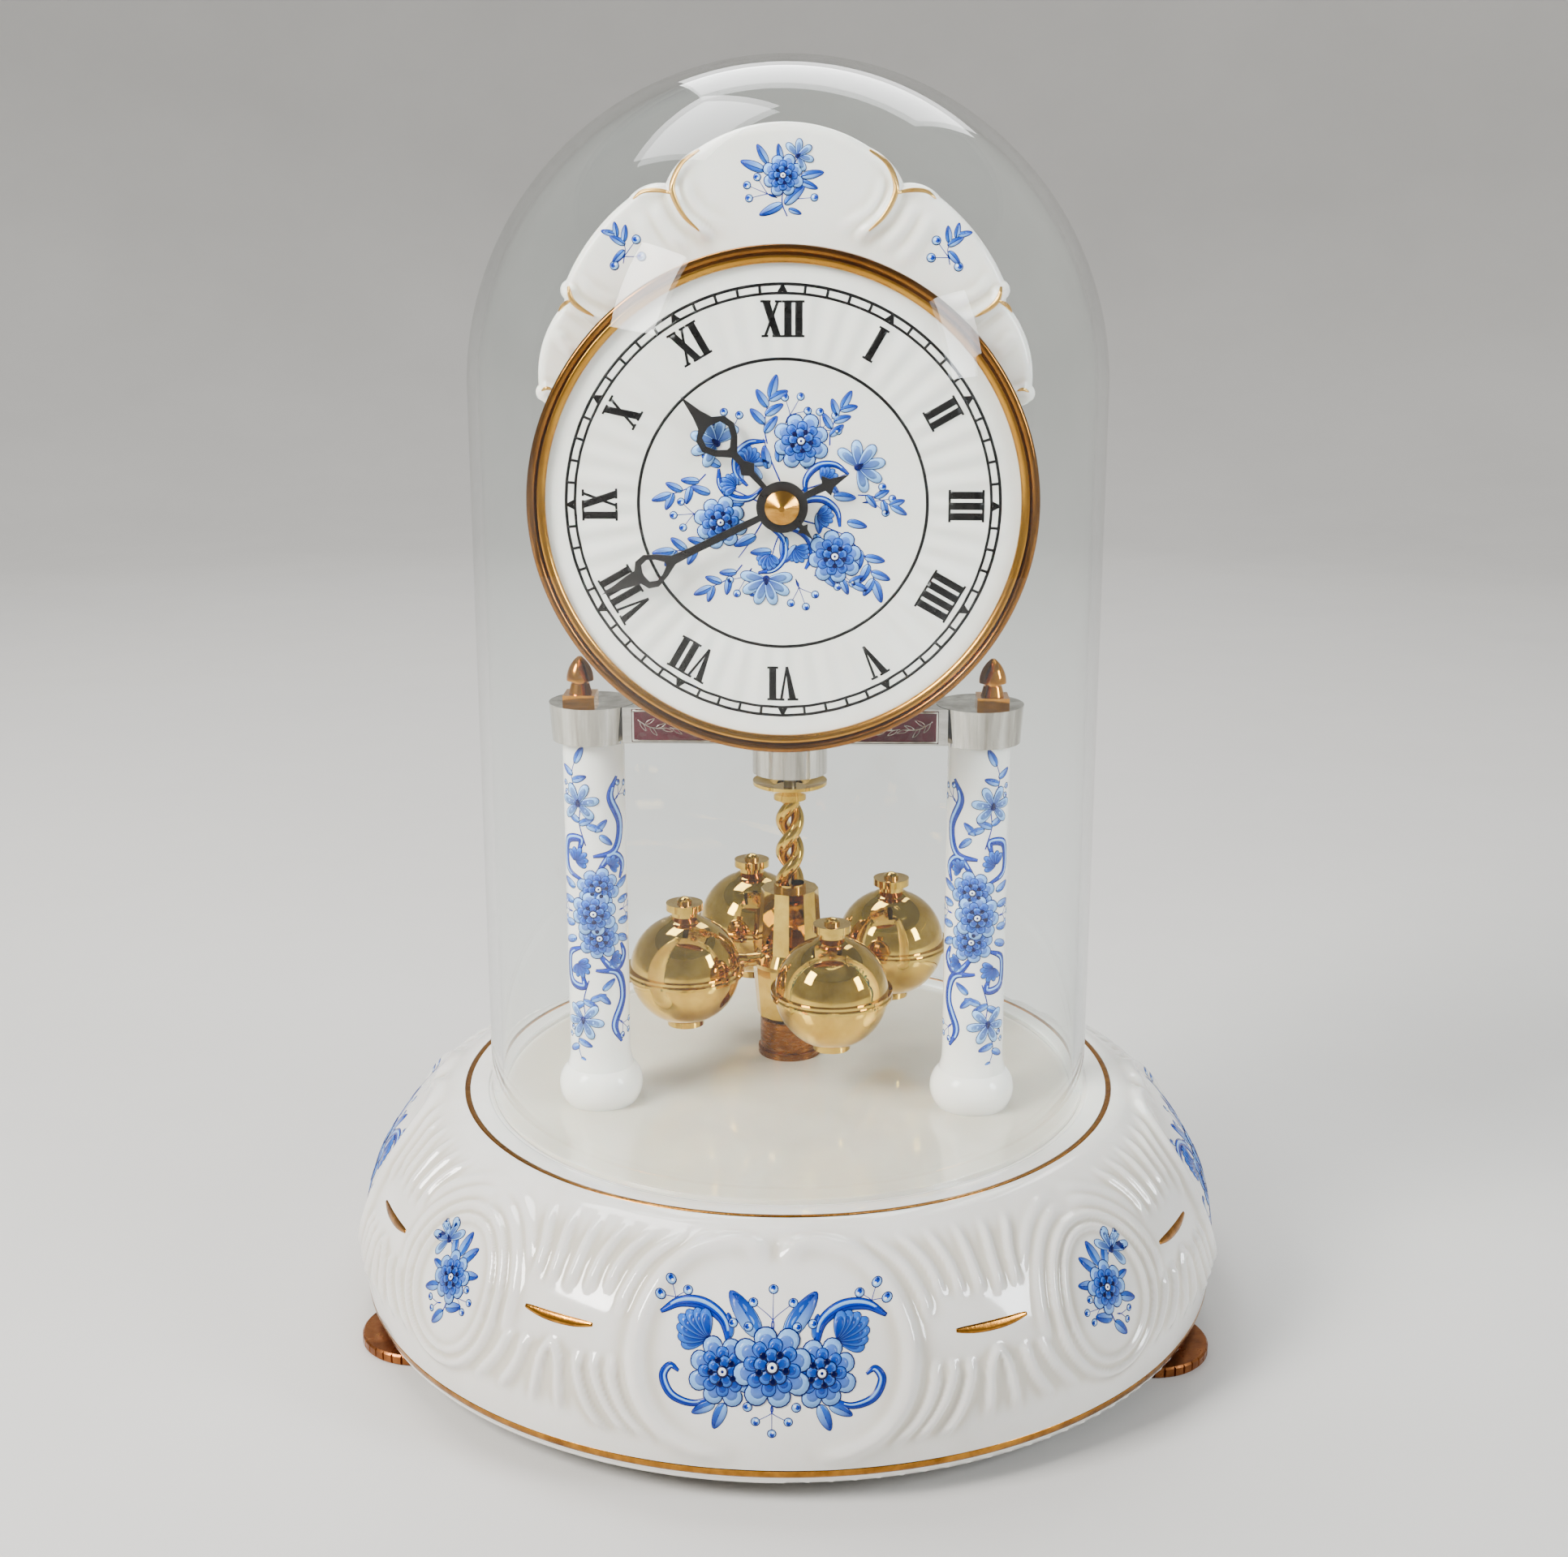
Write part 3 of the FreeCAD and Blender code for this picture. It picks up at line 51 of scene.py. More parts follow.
DENT = 0.4 * MM
TURN = 2 * math.pi

# camera, fitted to the photograph
PHOTO = (1932, 1919)
FOCAL_PX = 2600
AXIS_PX = (970.9, 936.4)
EYE = (14.87, -470.21, 250.59)
AIM = (0, 0, 128.69)

# sizes taken over from the CAD source, in millimetres
RIM_Z = 5.0
BELLY_MIDDLE = 61.87
BELLY_Z = RIM_Z + 11.0
BELLY_ARC = 39.2
TOP_Z = 51.5
TOP_R = 78.5
DIAL_Z = 192.2
DIAL_FRONT = 35.0
DIAL_R = 49.8
CROWN_FRONT = 25.0
CROWN_BACK = 20.5
CROWN_RISE = 76.0
CROWN_INNER = 31.0
COLUMN_X, COLUMN_Y, COLUMN_R = 42.75, -15.5, 6.9
DOME_R, DOME_WALL, DOME_FOOT, DOME_MIDDLE = 70.0, 2.5, 50.8, 213.3

# how far the belly's skin lies outside the solid
SKIN = 0.25


def srgb(text):
    """Linear colour of a hex colour."""
    parts = [int(text[k:k + 2], 16) / 255 for k in (1, 3, 5)]
    return (*[c / 12.92 if c < 0.04045 else ((c + 0.055) / 1.055) ** 2.4 for c in parts], 1.0)


def cobalt(text):
    """A painted colour, deepened because a glaze in pale light looks lighter than it is."""
    return (*[c ** 1.45 for c in srgb(text)[:3]], 1.0)


def mix(a, b, share):
    a, b = np.asarray(a, float), np.asarray(b, float)
    return a + (b - a) * np.asarray(share, float)[..., None]


# camera, floor and light
def make_camera():
    data = bpy.data.cameras.new("camera")
    camera = bpy.data.objects.new("camera", data)
    bpy.context.scene.collection.objects.link(camera)
    data.sensor_width = 36
    data.lens = FOCAL_PX / PHOTO[0] * data.sensor_width
    data.shift_x = (PHOTO[0] / 2 - AXIS_PX[0]) / PHOTO[0]
    data.shift_y = (AXIS_PX[1] - PHOTO[1] / 2) / PHOTO[0]
    data.clip_start, data.clip_end = 0.01, 20
    camera.location = np.array(EYE) * MM
    look = np.array(AIM, float) - EYE
    flat = math.hypot(look[0], look[1])
    camera.rotation_euler = (math.pi / 2 + math.atan2(look[2], flat), 0, math.atan2(-look[0], look[1]))
    bpy.context.scene.camera = camera


def lamp(name, place, aim, size, watts, tint=(1, 1, 1)):
    data = bpy.data.lights.new(name, "AREA")
    data.shape = "RECTANGLE"
    data.size, data.size_y = size
    data.energy = watts
    data.color = tint
    light = bpy.data.objects.new(name, data)
    bpy.context.scene.collection.objects.link(light)
    light.location = place
    ray = np.array(aim, float) - place
    light.rotation_euler = (math.atan2(math.hypot(ray[0], ray[1]), -ray[2]), 0, math.atan2(-ray[0], ray[1]))


class Look:
    """A Principled material whose colour, roughness and dents come from noise in the piece's own frame."""

    def __init__(self, name, colour, other, share=0.5, rough=(0.1, 0.2), scale=120.0, grain=(1, 1, 1),
                 bump=0.0, bump_scale=900.0, **values):
        self.material = bpy.data.materials.new(name)
        self.material.use_nodes = True
        self.tree = self.material.node_tree
        self.shader = self.tree.nodes["Principled BSDF"]
        for socket, value in values.items():
            self.shader.inputs[socket.replace("_", " ")].default_value = value
        self.place = self.add("ShaderNodeTexCoord").outputs["Object"]
        stretch = self.add("ShaderNodeMapping", Vector=self.place, Scale=grain).outputs[0]
        cloud = self.add("ShaderNodeTexNoise", Vector=stretch, Scale=scale, Detail=6.0, Roughness=0.6)
        cloud = cloud.outputs[0]
        self.colour = self.blend(self.ramp(cloud, share - 0.2, share + 0.2), colour, other)
        self.link(self.colour, "Base Color")
        self.link(self.ramp(cloud, 0.3, 0.7, *rough), "Roughness")
        if bump:
            fine = self.add("ShaderNodeTexNoise", Vector=stretch, Scale=bump_scale, Detail=3.0).outputs[0]
            dents = self.add("ShaderNodeBump", Height=fine, Strength=bump, Distance=DENT)
            self.link(dents.outputs[0], "Normal")

    def set(self, socket, value):
        """Link a socket, or give it a plain value."""
        if isinstance(value, bpy.types.NodeSocket):
            self.tree.links.new(value, socket)
        else:
            socket.default_value = value

    def add(self, kind, **inputs):
        node = self.tree.nodes.new(kind)
        for name, value in inputs.items():
            self.set(node.inputs[name], value)
        return node

    def link(self, output, socket):
        self.tree.links.new(output, self.shader.inputs[socket])

    def ramp(self, value, *limits):
        """A value carried from one range (from, to) to another one, or to 0 and 1."""
        node = self.add("ShaderNodeMapRange", Value=value)
        for socket, limit in zip(("From Min", "From Max", "To Min", "To Max"), limits):
            node.inputs[socket].default_value = limit
        return node.outputs[0]

    def blend(self, share, first, second, kind="MIX"):
        node = self.tree.nodes.new("ShaderNodeMix")
        node.data_type = "RGBA"
        node.blend_type = kind
        for index, value in ((0, share), (6, first), (7, second)):
            self.set(node.inputs[index], value)
        return node.outputs[2]

    def tint(self):
        """The colours that the mesh carries."""
        node = self.add("ShaderNodeAttribute")
        node.attribute_name = "tint"
        return node.outputs["Color"]


def stage_look(name, colour, other):
    return Look(name, colour, other, rough=(0.45, 0.6), scale=6.0, bump=0.05, bump_scale=500.0).material


def new_piece(name, points, faces, look, slot=None, body="frame", tints=None, smooth=True, replaces=()):
    """A mesh piece from points in millimetres, riding on a body. Stage pieces ride on none."""
    mesh = bpy.data.meshes.new(name)
    points = np.asarray(points, float).reshape(-1, 3) * MM
    mesh.from_pydata(points.tolist(), [], [list(f) for f in faces])
    mesh.validate()
    shaper = bmesh.new()
    shaper.from_mesh(mesh)
    bmesh.ops.recalc_face_normals(shaper, faces=shaper.faces)
    shaper.to_mesh(mesh)
    shaper.free()
    mesh.polygons.foreach_set("use_smooth", [smooth] * len(mesh.polygons))
    if tints is not None:
        layer = mesh.color_attributes.new("tint", "FLOAT_COLOR", "POINT")
        layer.data.foreach_set("color", np.asarray(tints, np.float32).ravel())
    mesh.materials.append(look)
    piece = bpy.data.objects.new(name, mesh)
    bpy.context.scene.collection.objects.link(piece)
    if body:
        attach(piece, body)
    if replaces:
        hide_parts(*replaces)
    return piece


def lathe(profile, steps, closed=True):
    """Points and faces of a profile of (radius, height) turned round the upright axis."""
    profile = np.asarray(profile, float)
    turns = np.arange(steps) / steps * TURN
    x = np.outer(np.cos(turns), profile[:, 0])
    y = np.outer(np.sin(turns), profile[:, 0])
    z = np.tile(profile[:, 1], (steps, 1))
    points = np.stack((x, y, z), -1).reshape(-1, 3)
    return points, lattice(steps, len(profile), True, closed)


def lattice(rows, columns, wrap_rows=False, wrap_columns=False):
    """Quads between the points of a grid, given row by row."""
    faces = []
    for i in range(rows if wrap_rows else rows - 1):
        below = i * columns
        above = (i + 1) % rows * columns
        for j in range(columns if wrap_columns else columns - 1):
            k = (j + 1) % columns
            faces.append((below + j, below + k, above + k, above + j))
    return faces


def smooth_path(points, count, closed=False):
    """Catmull-Rom line through points."""
    p = np.asarray(points, float)
    ends = (p[-1:], p[:2]) if closed else (2 * p[:1] - p[1:2], 2 * p[-1:] - p[-2:-1])
    p = np.concatenate((ends[0], p, ends[1]))
    spans = len(p) - 3
    at = np.linspace(0, spans, count, endpoint=not closed)
    k = np.minimum(at.astype(int), spans - 1)
    t = (at - k)[:, None]
    a, b, c, d = p[k], p[k + 1], p[k + 2], p[k + 3]
    return 0.5 * (2 * b + (c - a) * t + (2 * a - 5 * b + 4 * c - d) * t**2 + (3 * b - a - 3 * c + d) * t**3)


def ridge_heights(places, ridges):
    """Height of soft ridges at flat places. A ridge is (line, height, half width) and fades at its ends."""
    heights = np.zeros(len(places))
    for line, height, reach, fade in ridges:
        path = smooth_path(line, 8 * len(line))
        near = (np.abs(places - path.mean(0)) < np.ptp(path, axis=0) / 2 + 3 * reach + 0.5).all(1)
        q = places[near]
        best = np.full(len(q), 1e9)
        along = np.zeros(len(q))
        for i in range(len(path) - 1):
            a, b = path[i], path[i + 1]
            ab = b - a
            t = np.clip((q - a) @ ab / (ab @ ab), 0, 1)
            gap = np.hypot(*(q - a - t[:, None] * ab).T)
            nearer = gap < best
            best[nearer] = gap[nearer]
            along[nearer] = (i + t[nearer]) / (len(path) - 1)
        ends = np.clip(np.minimum(along, 1 - along) / fade, 0, 1) if fade else 1
        rise = height * np.exp(-(best / reach) ** 2) * (ends * ends * (3 - 2 * ends) if fade else 1)
        heights[near] = np.maximum(heights[near], rise) if height > 0 else heights[near] + rise
    return heights


# the porcelain base's relief: four large cartouches, four ovals, and flutes above and below the gold dashes
BELLY_TURN_MM = 1.70
BELLY_CLIMB_MM = BELLY_ARC * TURN / 360
QUARTER = 90.0
# depth of a recess, in millimetres, at which its painted shade is full
RECESS_SHADE_DEPTH = 0.22
CARTOUCHE = [(0, 52.3), (2.8, 56.2), (6, 57.3), (10.6, 53.9), (14.0, 45.6), (15.8, 34.5), (16.2, 22.9),
             (15.2, 11.6), (12.7, 2.4), (9.0, -3.3), (4, -6.5)]
RELIEF_GAIN, RELIEF_WIDEN = 1.15, 1.12


def oval_line(wide, tall, end, count):
    """Part of an oval round a small spray, in degrees, from its top down to an angle in radians."""
    return [(45 - wide * math.sin(a), 24.2 + tall * math.cos(a)) for a in np.linspace(0, end, count)]


BELLY_RIDGES = [
    (CARTOUCHE, 1.25, 2.0, 0.10),
    ([(11.8, 59.5), (16.4, 50.5), (18.5, 40), (19.0, 30)], 0.75, 1.2, 0.25),
    ([(19.2, 22), (18.5, 12.5), (16.4, 3.4), (12.6, -4.5)], 0.85, 1.2, 0.25),
    ([(17.0, 60.0), (20.3, 48), (21.4, 36)], 0.8, 1.0, 0.3),
    ([(21.4, 60.5), (23.3, 47), (23.9, 35)], 0.8, 1.0, 0.3),
    ([(26.2, 61.0), (26.4, 46), (26.6, 34.5)], 0.8, 1.0, 0.3),
    ([(30.8, 60.5), (29.5, 46), (29.2, 34)], 0.8, 1.0, 0.3),
    ([(35.2, 60.0), (32.4, 47), (31.6, 34.5)], 0.8, 1.0, 0.3),
    ([(21.4, 21), (20.7, 13.5), (18.8, 4.8), (15.9, -3.4)], 0.9, 1.0, 0.2),
    ([(23.5, 20.5), (23.0, 12.5), (21.4, 3.8), (19.0, -3.5)], 0.9, 0.95, 0.2),
    ([(25.2, -1.5), (25.5, 8), (25.9, 15.5), (27.0, 19.6), (28.1, 15.5), (28.6, 8), (29.2, -1.5)],
     0.9, 0.85, 0.12),
    ([(30.5, 20.5), (31.5, 10.7), (34.2, 0)], 0.9, 1.0, 0.2),
    ([(32.8, 21), (34.6, 11), (38.4, -0.5)], 0.8, 1.0, 0.25),
    (oval_line(7.1, 20.5, math.pi, 13), 0.7, 0.8, 0),
    (oval_line(8.9, 24.3, math.pi, 13), 0.9, 1.0, 0),
    (oval_line(11.0, 29.5, 1.9, 9), 0.6, 1.2, 0.2),
    (oval_line(13.2, 34.5, 1.2, 7), 0.45, 1.2, 0.3),
]


BELLY_TURNS = np.linspace(0, QUARTER / 2, 151)
BELLY_CLIMBS = np.linspace(-13, 63, 118)


def relief_table():
    """Relief of the belly's eighth, in millimetres. The rest repeats and mirrors it."""
    turn, climb = np.meshgrid(BELLY_TURNS, BELLY_CLIMBS, indexing="ij")
    scale = (BELLY_TURN_MM, BELLY_CLIMB_MM)
    ridges = [(np.array(line) * scale, RELIEF_GAIN * height, RELIEF_WIDEN * reach, fade)
              for line, height, reach, fade in BELLY_RIDGES]
    places = np.column_stack((turn.ravel(), climb.ravel())) * scale
    heights = ridge_heights(places, ridges).reshape(turn.shape)
    edge = np.minimum(BELLY_CLIMBS - BELLY_CLIMBS[0], BELLY_CLIMBS[-1] + 2 - BELLY_CLIMBS)
    return heights * np.clip(edge / 5, 0, 1)


BELLY_TABLE = relief_table()


def belly_relief(turn, climb):
    """Relief at degrees round from the front and degrees up the arc."""
    folded = np.abs((np.asarray(turn, float) + QUARTER / 2) % QUARTER - QUARTER / 2)
    i = np.clip(np.interp(folded, BELLY_TURNS, np.arange(len(BELLY_TURNS))), 0, len(BELLY_TURNS) - 1.001)
    j = np.clip(np.interp(climb, BELLY_CLIMBS, np.arange(len(BELLY_CLIMBS))), 0, len(BELLY_CLIMBS) - 1.001)
    a, b = i.astype(int), j.astype(int)
    u, v = i - a, j - b
    t = BELLY_TABLE
    low, high = t[a, b] * (1 - u) + t[a + 1, b] * u, t[a, b + 1] * (1 - u) + t[a + 1, b + 1] * u
    return low * (1 - v) + high * v


def belly_place(turn, climb, lift):
    """Point on the belly's skin, lifted along its normal."""
    turn, climb = np.radians(turn), np.radians(climb)
    reach = BELLY_ARC + SKIN + lift
    r = BELLY_MIDDLE + reach * np.cos(climb)
    return np.column_stack((r * np.sin(turn), -r * np.cos(turn), BELLY_Z + reach * np.sin(climb)))


def belly_section(climb, reach):
    """Radius and height of a place at degrees up the belly's arc."""
    a = math.radians(climb)
    return BELLY_MIDDLE + reach * math.cos(a), BELLY_Z + reach * math.sin(a)


def recess_shade_tints(heights, reach):
    """Tints for a grid of relief heights: painted shade, a little darker and warmer in the relief's
    recesses.
    """
    shifts = [(i, j) for i in range(-2, 3) for j in range(-2, 3)]
    around = sum(np.roll(heights, (i * reach, j), (0, 1)) for i, j in shifts) / len(shifts)
    depth = np.clip((around - heights) / RECESS_SHADE_DEPTH, 0, 1)
    # the painted shade's colour, full in the deepest recesses
    return mix((1, 1, 1, 1), (0.74, 0.70, 0.61, 1), depth * 0.85)


def make_base(look):
    steps, rises = 1200, len(BELLY_CLIMBS)
    turns = np.arange(steps) / steps * 360
    turn, climb = (grid.ravel() for grid in np.meshgrid(turns, BELLY_CLIMBS, indexing="ij"))
    heights = belly_relief(turn, climb)
    belly = belly_place(turn, climb, heights).reshape(steps, rises, 3)
    top = [(TOP_R - 0.35, TOP_Z + 0.12), (TOP_R - 1.2, TOP_Z + 0.28), (TOP_R - 2.6, TOP_Z + 0.32),
           (73.5, TOP_Z + 0.3), (71.3, TOP_Z + 0.26), (70.8, TOP_Z + 0.1), (70.7, TOP_Z - 0.3),
           (76.0, TOP_Z - 2.0)]
    foot = [belly_section(c, BELLY_ARC - 2.0) for c in (50, 30, 10, -8)]
    foot += [(97.2, RIM_Z + 1.0), (97.6, RIM_Z + 0.05), (98.6, RIM_Z + 0.02), (99.3, RIM_Z + 0.5)]
    r, z = np.array(top + foot).T
    angle = np.radians(turns)[:, None]
    ring = np.stack((r * np.sin(angle), -r * np.cos(angle), np.tile(z, (steps, 1))), -1)
    points = np.concatenate((belly, ring), axis=1)
    # painted shade in the belly relief's recesses, none on the rings
    tints = np.concatenate((recess_shade_tints(heights.reshape(steps, rises), 2), np.ones((steps, len(r), 4))), axis=1)
    new_piece("base_relief", points, lattice(steps, points.shape[1], True, True), look, "porcelain",
              tints=tints)


# the crown's outline and relief, as offsets from the dial's centre
CROWN_STARTS = [(0.228, 0.934), (0.318, 0.843), (0.418, 0.805), (0.592, 0.590), (0.592, 0.537),
                (0.676, 0.309), (0.658, 0.263)]
CROWN_THROUGH = [(0.287, 0.892), (0.371, 0.838), (0.524, 0.701), (0.609, 0.566), (0.655, 0.441),
                 (0.684, 0.283)]
LOBE = [(17.3, 71.0), (20.9, 68.4), (22.7, 64.6), (22.4, 61.6), (20.4, 58.0), (17.4, 55.2)]
SHOULDER = [(22.3, 62.4), (25.6, 63.1), (28.9, 62.9), (31.0, 61.4)]
HIP = [(44.7, 44.0), (44.0, 41.4), (42.4, 39.7), (39.5, 38.0)]
HIP_TOP = [(44.2, 41.2), (46.0, 40.2), (47.2, 38.8)]
CROWN_RIDGES = [
    (LOBE + [(14.0, 52.5)], 0.9, 1.5, 0.15),
    (SHOULDER, 0.6, 1.2, 0.15),
    (HIP + [(34.0, 36.0)], 0.8, 1.5, 0.15),
    (HIP_TOP, 0.5, 1.0, 0.2),
    ([(26.4, 60.4), (25.2, 57), (22.6, 53.5), (19.2, 50.5)], 0.4, 1.4, 0.3),
    ([(30.2, 59.0), (28.6, 55), (26.0, 51), (22.6, 47.5)], 0.35, 1.5, 0.3),
    ([(19.2, 66.4), (19.6, 62.5), (17.8, 59.2), (14.2, 56.5), (9.5, 54.5)], 0.35, 1.3, 0.3),
    ([(42.0, 46.5), (40.3, 43.2), (37.0, 41.2), (33.0, 40.0)], 0.3, 1.3, 0.3),
    ([(47.0, 35.0), (45.6, 32.0), (43.0, 30.0)], 0.3, 1.3, 0.3),
    ([(50.8, 23.6), (48.6, 22.6), (46.0, 22.4)], 0.5, 1.1, 0.2),
]


def arc_points(a, b, c, count=18):
    """Points on the circle through three places, from the first up to the last."""
    a, b, c = (complex(*p) for p in (a, b, c))
    w = (c - a) / (b - a)
    centre = (b - a) * (w - abs(w) ** 2) / (2j * w.imag) + a
    turn = np.angle((c - centre) / (a - centre))
    line = centre + (a - centre) * np.exp(1j * turn * np.linspace(0, 1, count))
    return np.column_stack((line.real, line.imag))


def crown_outline():
    starts = [np.array(p) * CROWN_RISE for p in CROWN_STARTS]
    through = [np.array(p) * CROWN_RISE for p in CROWN_THROUGH]
    parts = [arc_points((-starts[0][0], starts[0][1]), (0, CROWN_RISE), starts[0], 36)[18:]]
    parts += [arc_points(starts[k], through[k], starts[k + 1]) for k in range(len(through))]
    line = np.concatenate(parts)
    angle, reach = np.arctan2(line[:, 0], line[:, 1]), np.hypot(line[:, 0], line[:, 1])
    order = np.argsort(angle, kind="stable")
    return angle[order], reach[order]


OUTLINE = crown_outline()
CROWN_ROUND = 2.2
CROWN_GAIN = 1.5


def crown_front(x, z):
    """How far the crown's front stands out, in millimetres."""
    x, z = np.asarray(x, float), np.asarray(z, float)
    side = np.abs(x)
    reach = np.interp(np.arctan2(side, z), *OUTLINE)
    inside = np.clip((reach - np.hypot(x, z)) / CROWN_ROUND, 0, 1)
    rounded = CROWN_ROUND * (1 - np.sqrt(np.clip(1 - (1 - inside) ** 2, 0, 1)))
    relief = ridge_heights(np.column_stack((side, z)), CROWN_RIDGES)
    return CROWN_FRONT - rounded * 0.9 + CROWN_GAIN * relief * inside


def upright(r, y, turns):
    """Places at radii and turns round the dial's centre, y deep."""
    return np.stack(np.broadcast_arrays(r * np.sin(turns), y, DIAL_Z + r * np.cos(turns)), -1)


def make_crown(look):
    side, columns, rings = OUTLINE[0][-1], 420, 52
    angles = np.unique(np.concatenate((np.linspace(-side, side, columns), OUTLINE[0], -OUTLINE[0])).round(3))
    columns = len(angles)
    reach = np.interp(np.abs(angles), *OUTLINE)
    shares = 1 - (1 - np.linspace(0, 1, rings)) ** 1.6
    r = CROWN_INNER + (reach - CROWN_INNER)[:, None] * shares
    x, z = r * np.sin(angles)[:, None], r * np.cos(angles)[:, None]
    y = -crown_front(x.ravel(), z.ravel()).reshape(x.shape)
    front = np.stack((x, y, DIAL_Z + z), -1)
    backs = [upright(r, -CROWN_BACK - depth, angles)
             for r, depth in ((reach, 1.2), (reach - 0.15, 0.5), (reach - 0.8, 0), (CROWN_INNER, 0))]
    points = np.concatenate((front, np.stack(backs, 1)), axis=1)
    count = points.shape[1]
    faces = lattice(columns, count, False, True)
    last = (columns - 1) * count
    faces += [tuple(range(count)), tuple(last + k for k in reversed(range(count)))]
    # painted shade in the crown relief's recesses
    tints = np.concatenate((recess_shade_tints(-y, 3), np.ones((columns, count - rings, 4))), axis=1)
    tints[:, :3] = tints[:, rings - 3:rings] = 1
    new_piece("crown_shell", points, faces, look, "porcelain", tints=tints,
              replaces=["crown_plate"])


# the dial
FLUTES = 48


def dial_rise(x, z):
    """Soft flutes round the numerals, in millimetres."""
    r = np.hypot(x, z)
    band = np.clip((r - 27) / 6, 0, 1) * np.clip((46.5 - r) / 3, 0, 1)
    return 0.17 * band * (1 + np.cos(FLUTES * np.arctan2(x, z)))


def make_dial(look):
    bands = ((3.6, 26, 14), (27, 47, 32), (48, DIAL_R - 0.5, 4))
    radii = np.concatenate([np.linspace(*band) for band in bands])
    steps = 576
    turns = np.arange(steps)[:, None] / steps * TURN
    x, z = radii * np.sin(turns), radii * np.cos(turns)
    front = np.stack((x, -(DIAL_FRONT + dial_rise(x, z)), DIAL_Z + z), -1)
    r, y = np.array([(DIAL_R, DIAL_FRONT - 0.5), (DIAL_R, 32.0), (DIAL_R - 0.5, 31.5), (3.6, 31.5)]).T
    points = np.concatenate((front, upright(r, -y, turns)), axis=1)
    new_piece("dial_face", points, lattice(steps, points.shape[1], True, True), look, "porcelain",
              replaces=["dial_plate"])


# ways to lay flat artwork on the object's surfaces
def on_dial(x, y, lift):
    return np.column_stack((x, -(DIAL_FRONT + dial_rise(x, y) + lift), DIAL_Z + y))


def on_crown(x, y, lift):
    return np.column_stack((x, -(crown_front(x, y) + lift), DIAL_Z + y))


def on_belly(middle, climb):
    """Artwork laid on the belly round a place given in degrees."""
    def lay(x, y, lift):
        up = climb + y / BELLY_CLIMB_MM
        round_mm = (BELLY_MIDDLE + BELLY_ARC * np.cos(np.radians(up))) * TURN / 360
        turn = middle + x / round_mm
        return belly_place(turn, up, belly_relief(turn, up) + lift)
    return lay


def on_column(side):
    def lay(x, y, lift):
        turn, r = x / COLUMN_R, COLUMN_R + lift
        return np.column_stack((side * COLUMN_X + r * np.sin(turn), COLUMN_Y - r * np.cos(turn), y))
    return lay


INK, NAVY, DEEP, BLUE = map(cobalt, ("#142c7c", "#10195c", "#12369a", "#1d58bc"))
SKY, PALE, STEM = map(cobalt, ("#4a8bd9", "#a6cdf3", "#2b4aa6"))
WHITE = srgb("#eef3f8")

# how far a film's edge goes below the glaze, and the rise from one layer of a flower to the next
UNDER = -0.12
STEP = 0.017
PETALS, HEARTS = 8, 5


def put(x=0.0, y=0.0, turn=0.0, flip=False):
    """A flat move: mirrored, turned by degrees anticlockwise, then shifted."""
    c, s = math.cos(math.radians(turn)), math.sin(math.radians(turn))

    def move(points):
        p = np.asarray(points, float).reshape(-1, 2) * (-1 if flip else 1, 1)
        return np.column_stack((x + c * p[:, 0] - s * p[:, 1], y + s * p[:, 0] + c * p[:, 1]))
    return move


def at(outer, *place, **ways):
    """The flat move put(...), made inside another move."""
    inner = put(*place, **ways)
    return lambda points: outer(inner(points))


def polar(angle, reach, heading):
    a = math.radians(angle)
    return put(reach * math.cos(a), reach * math.sin(a), heading)


def along_sides(corners, count):
    """Points round a four-sided line, count to a side."""
    sides = zip(corners, corners[1:] + corners[:1])
    return np.concatenate([np.linspace(a, b, count, endpoint=False) for a, b in sides])


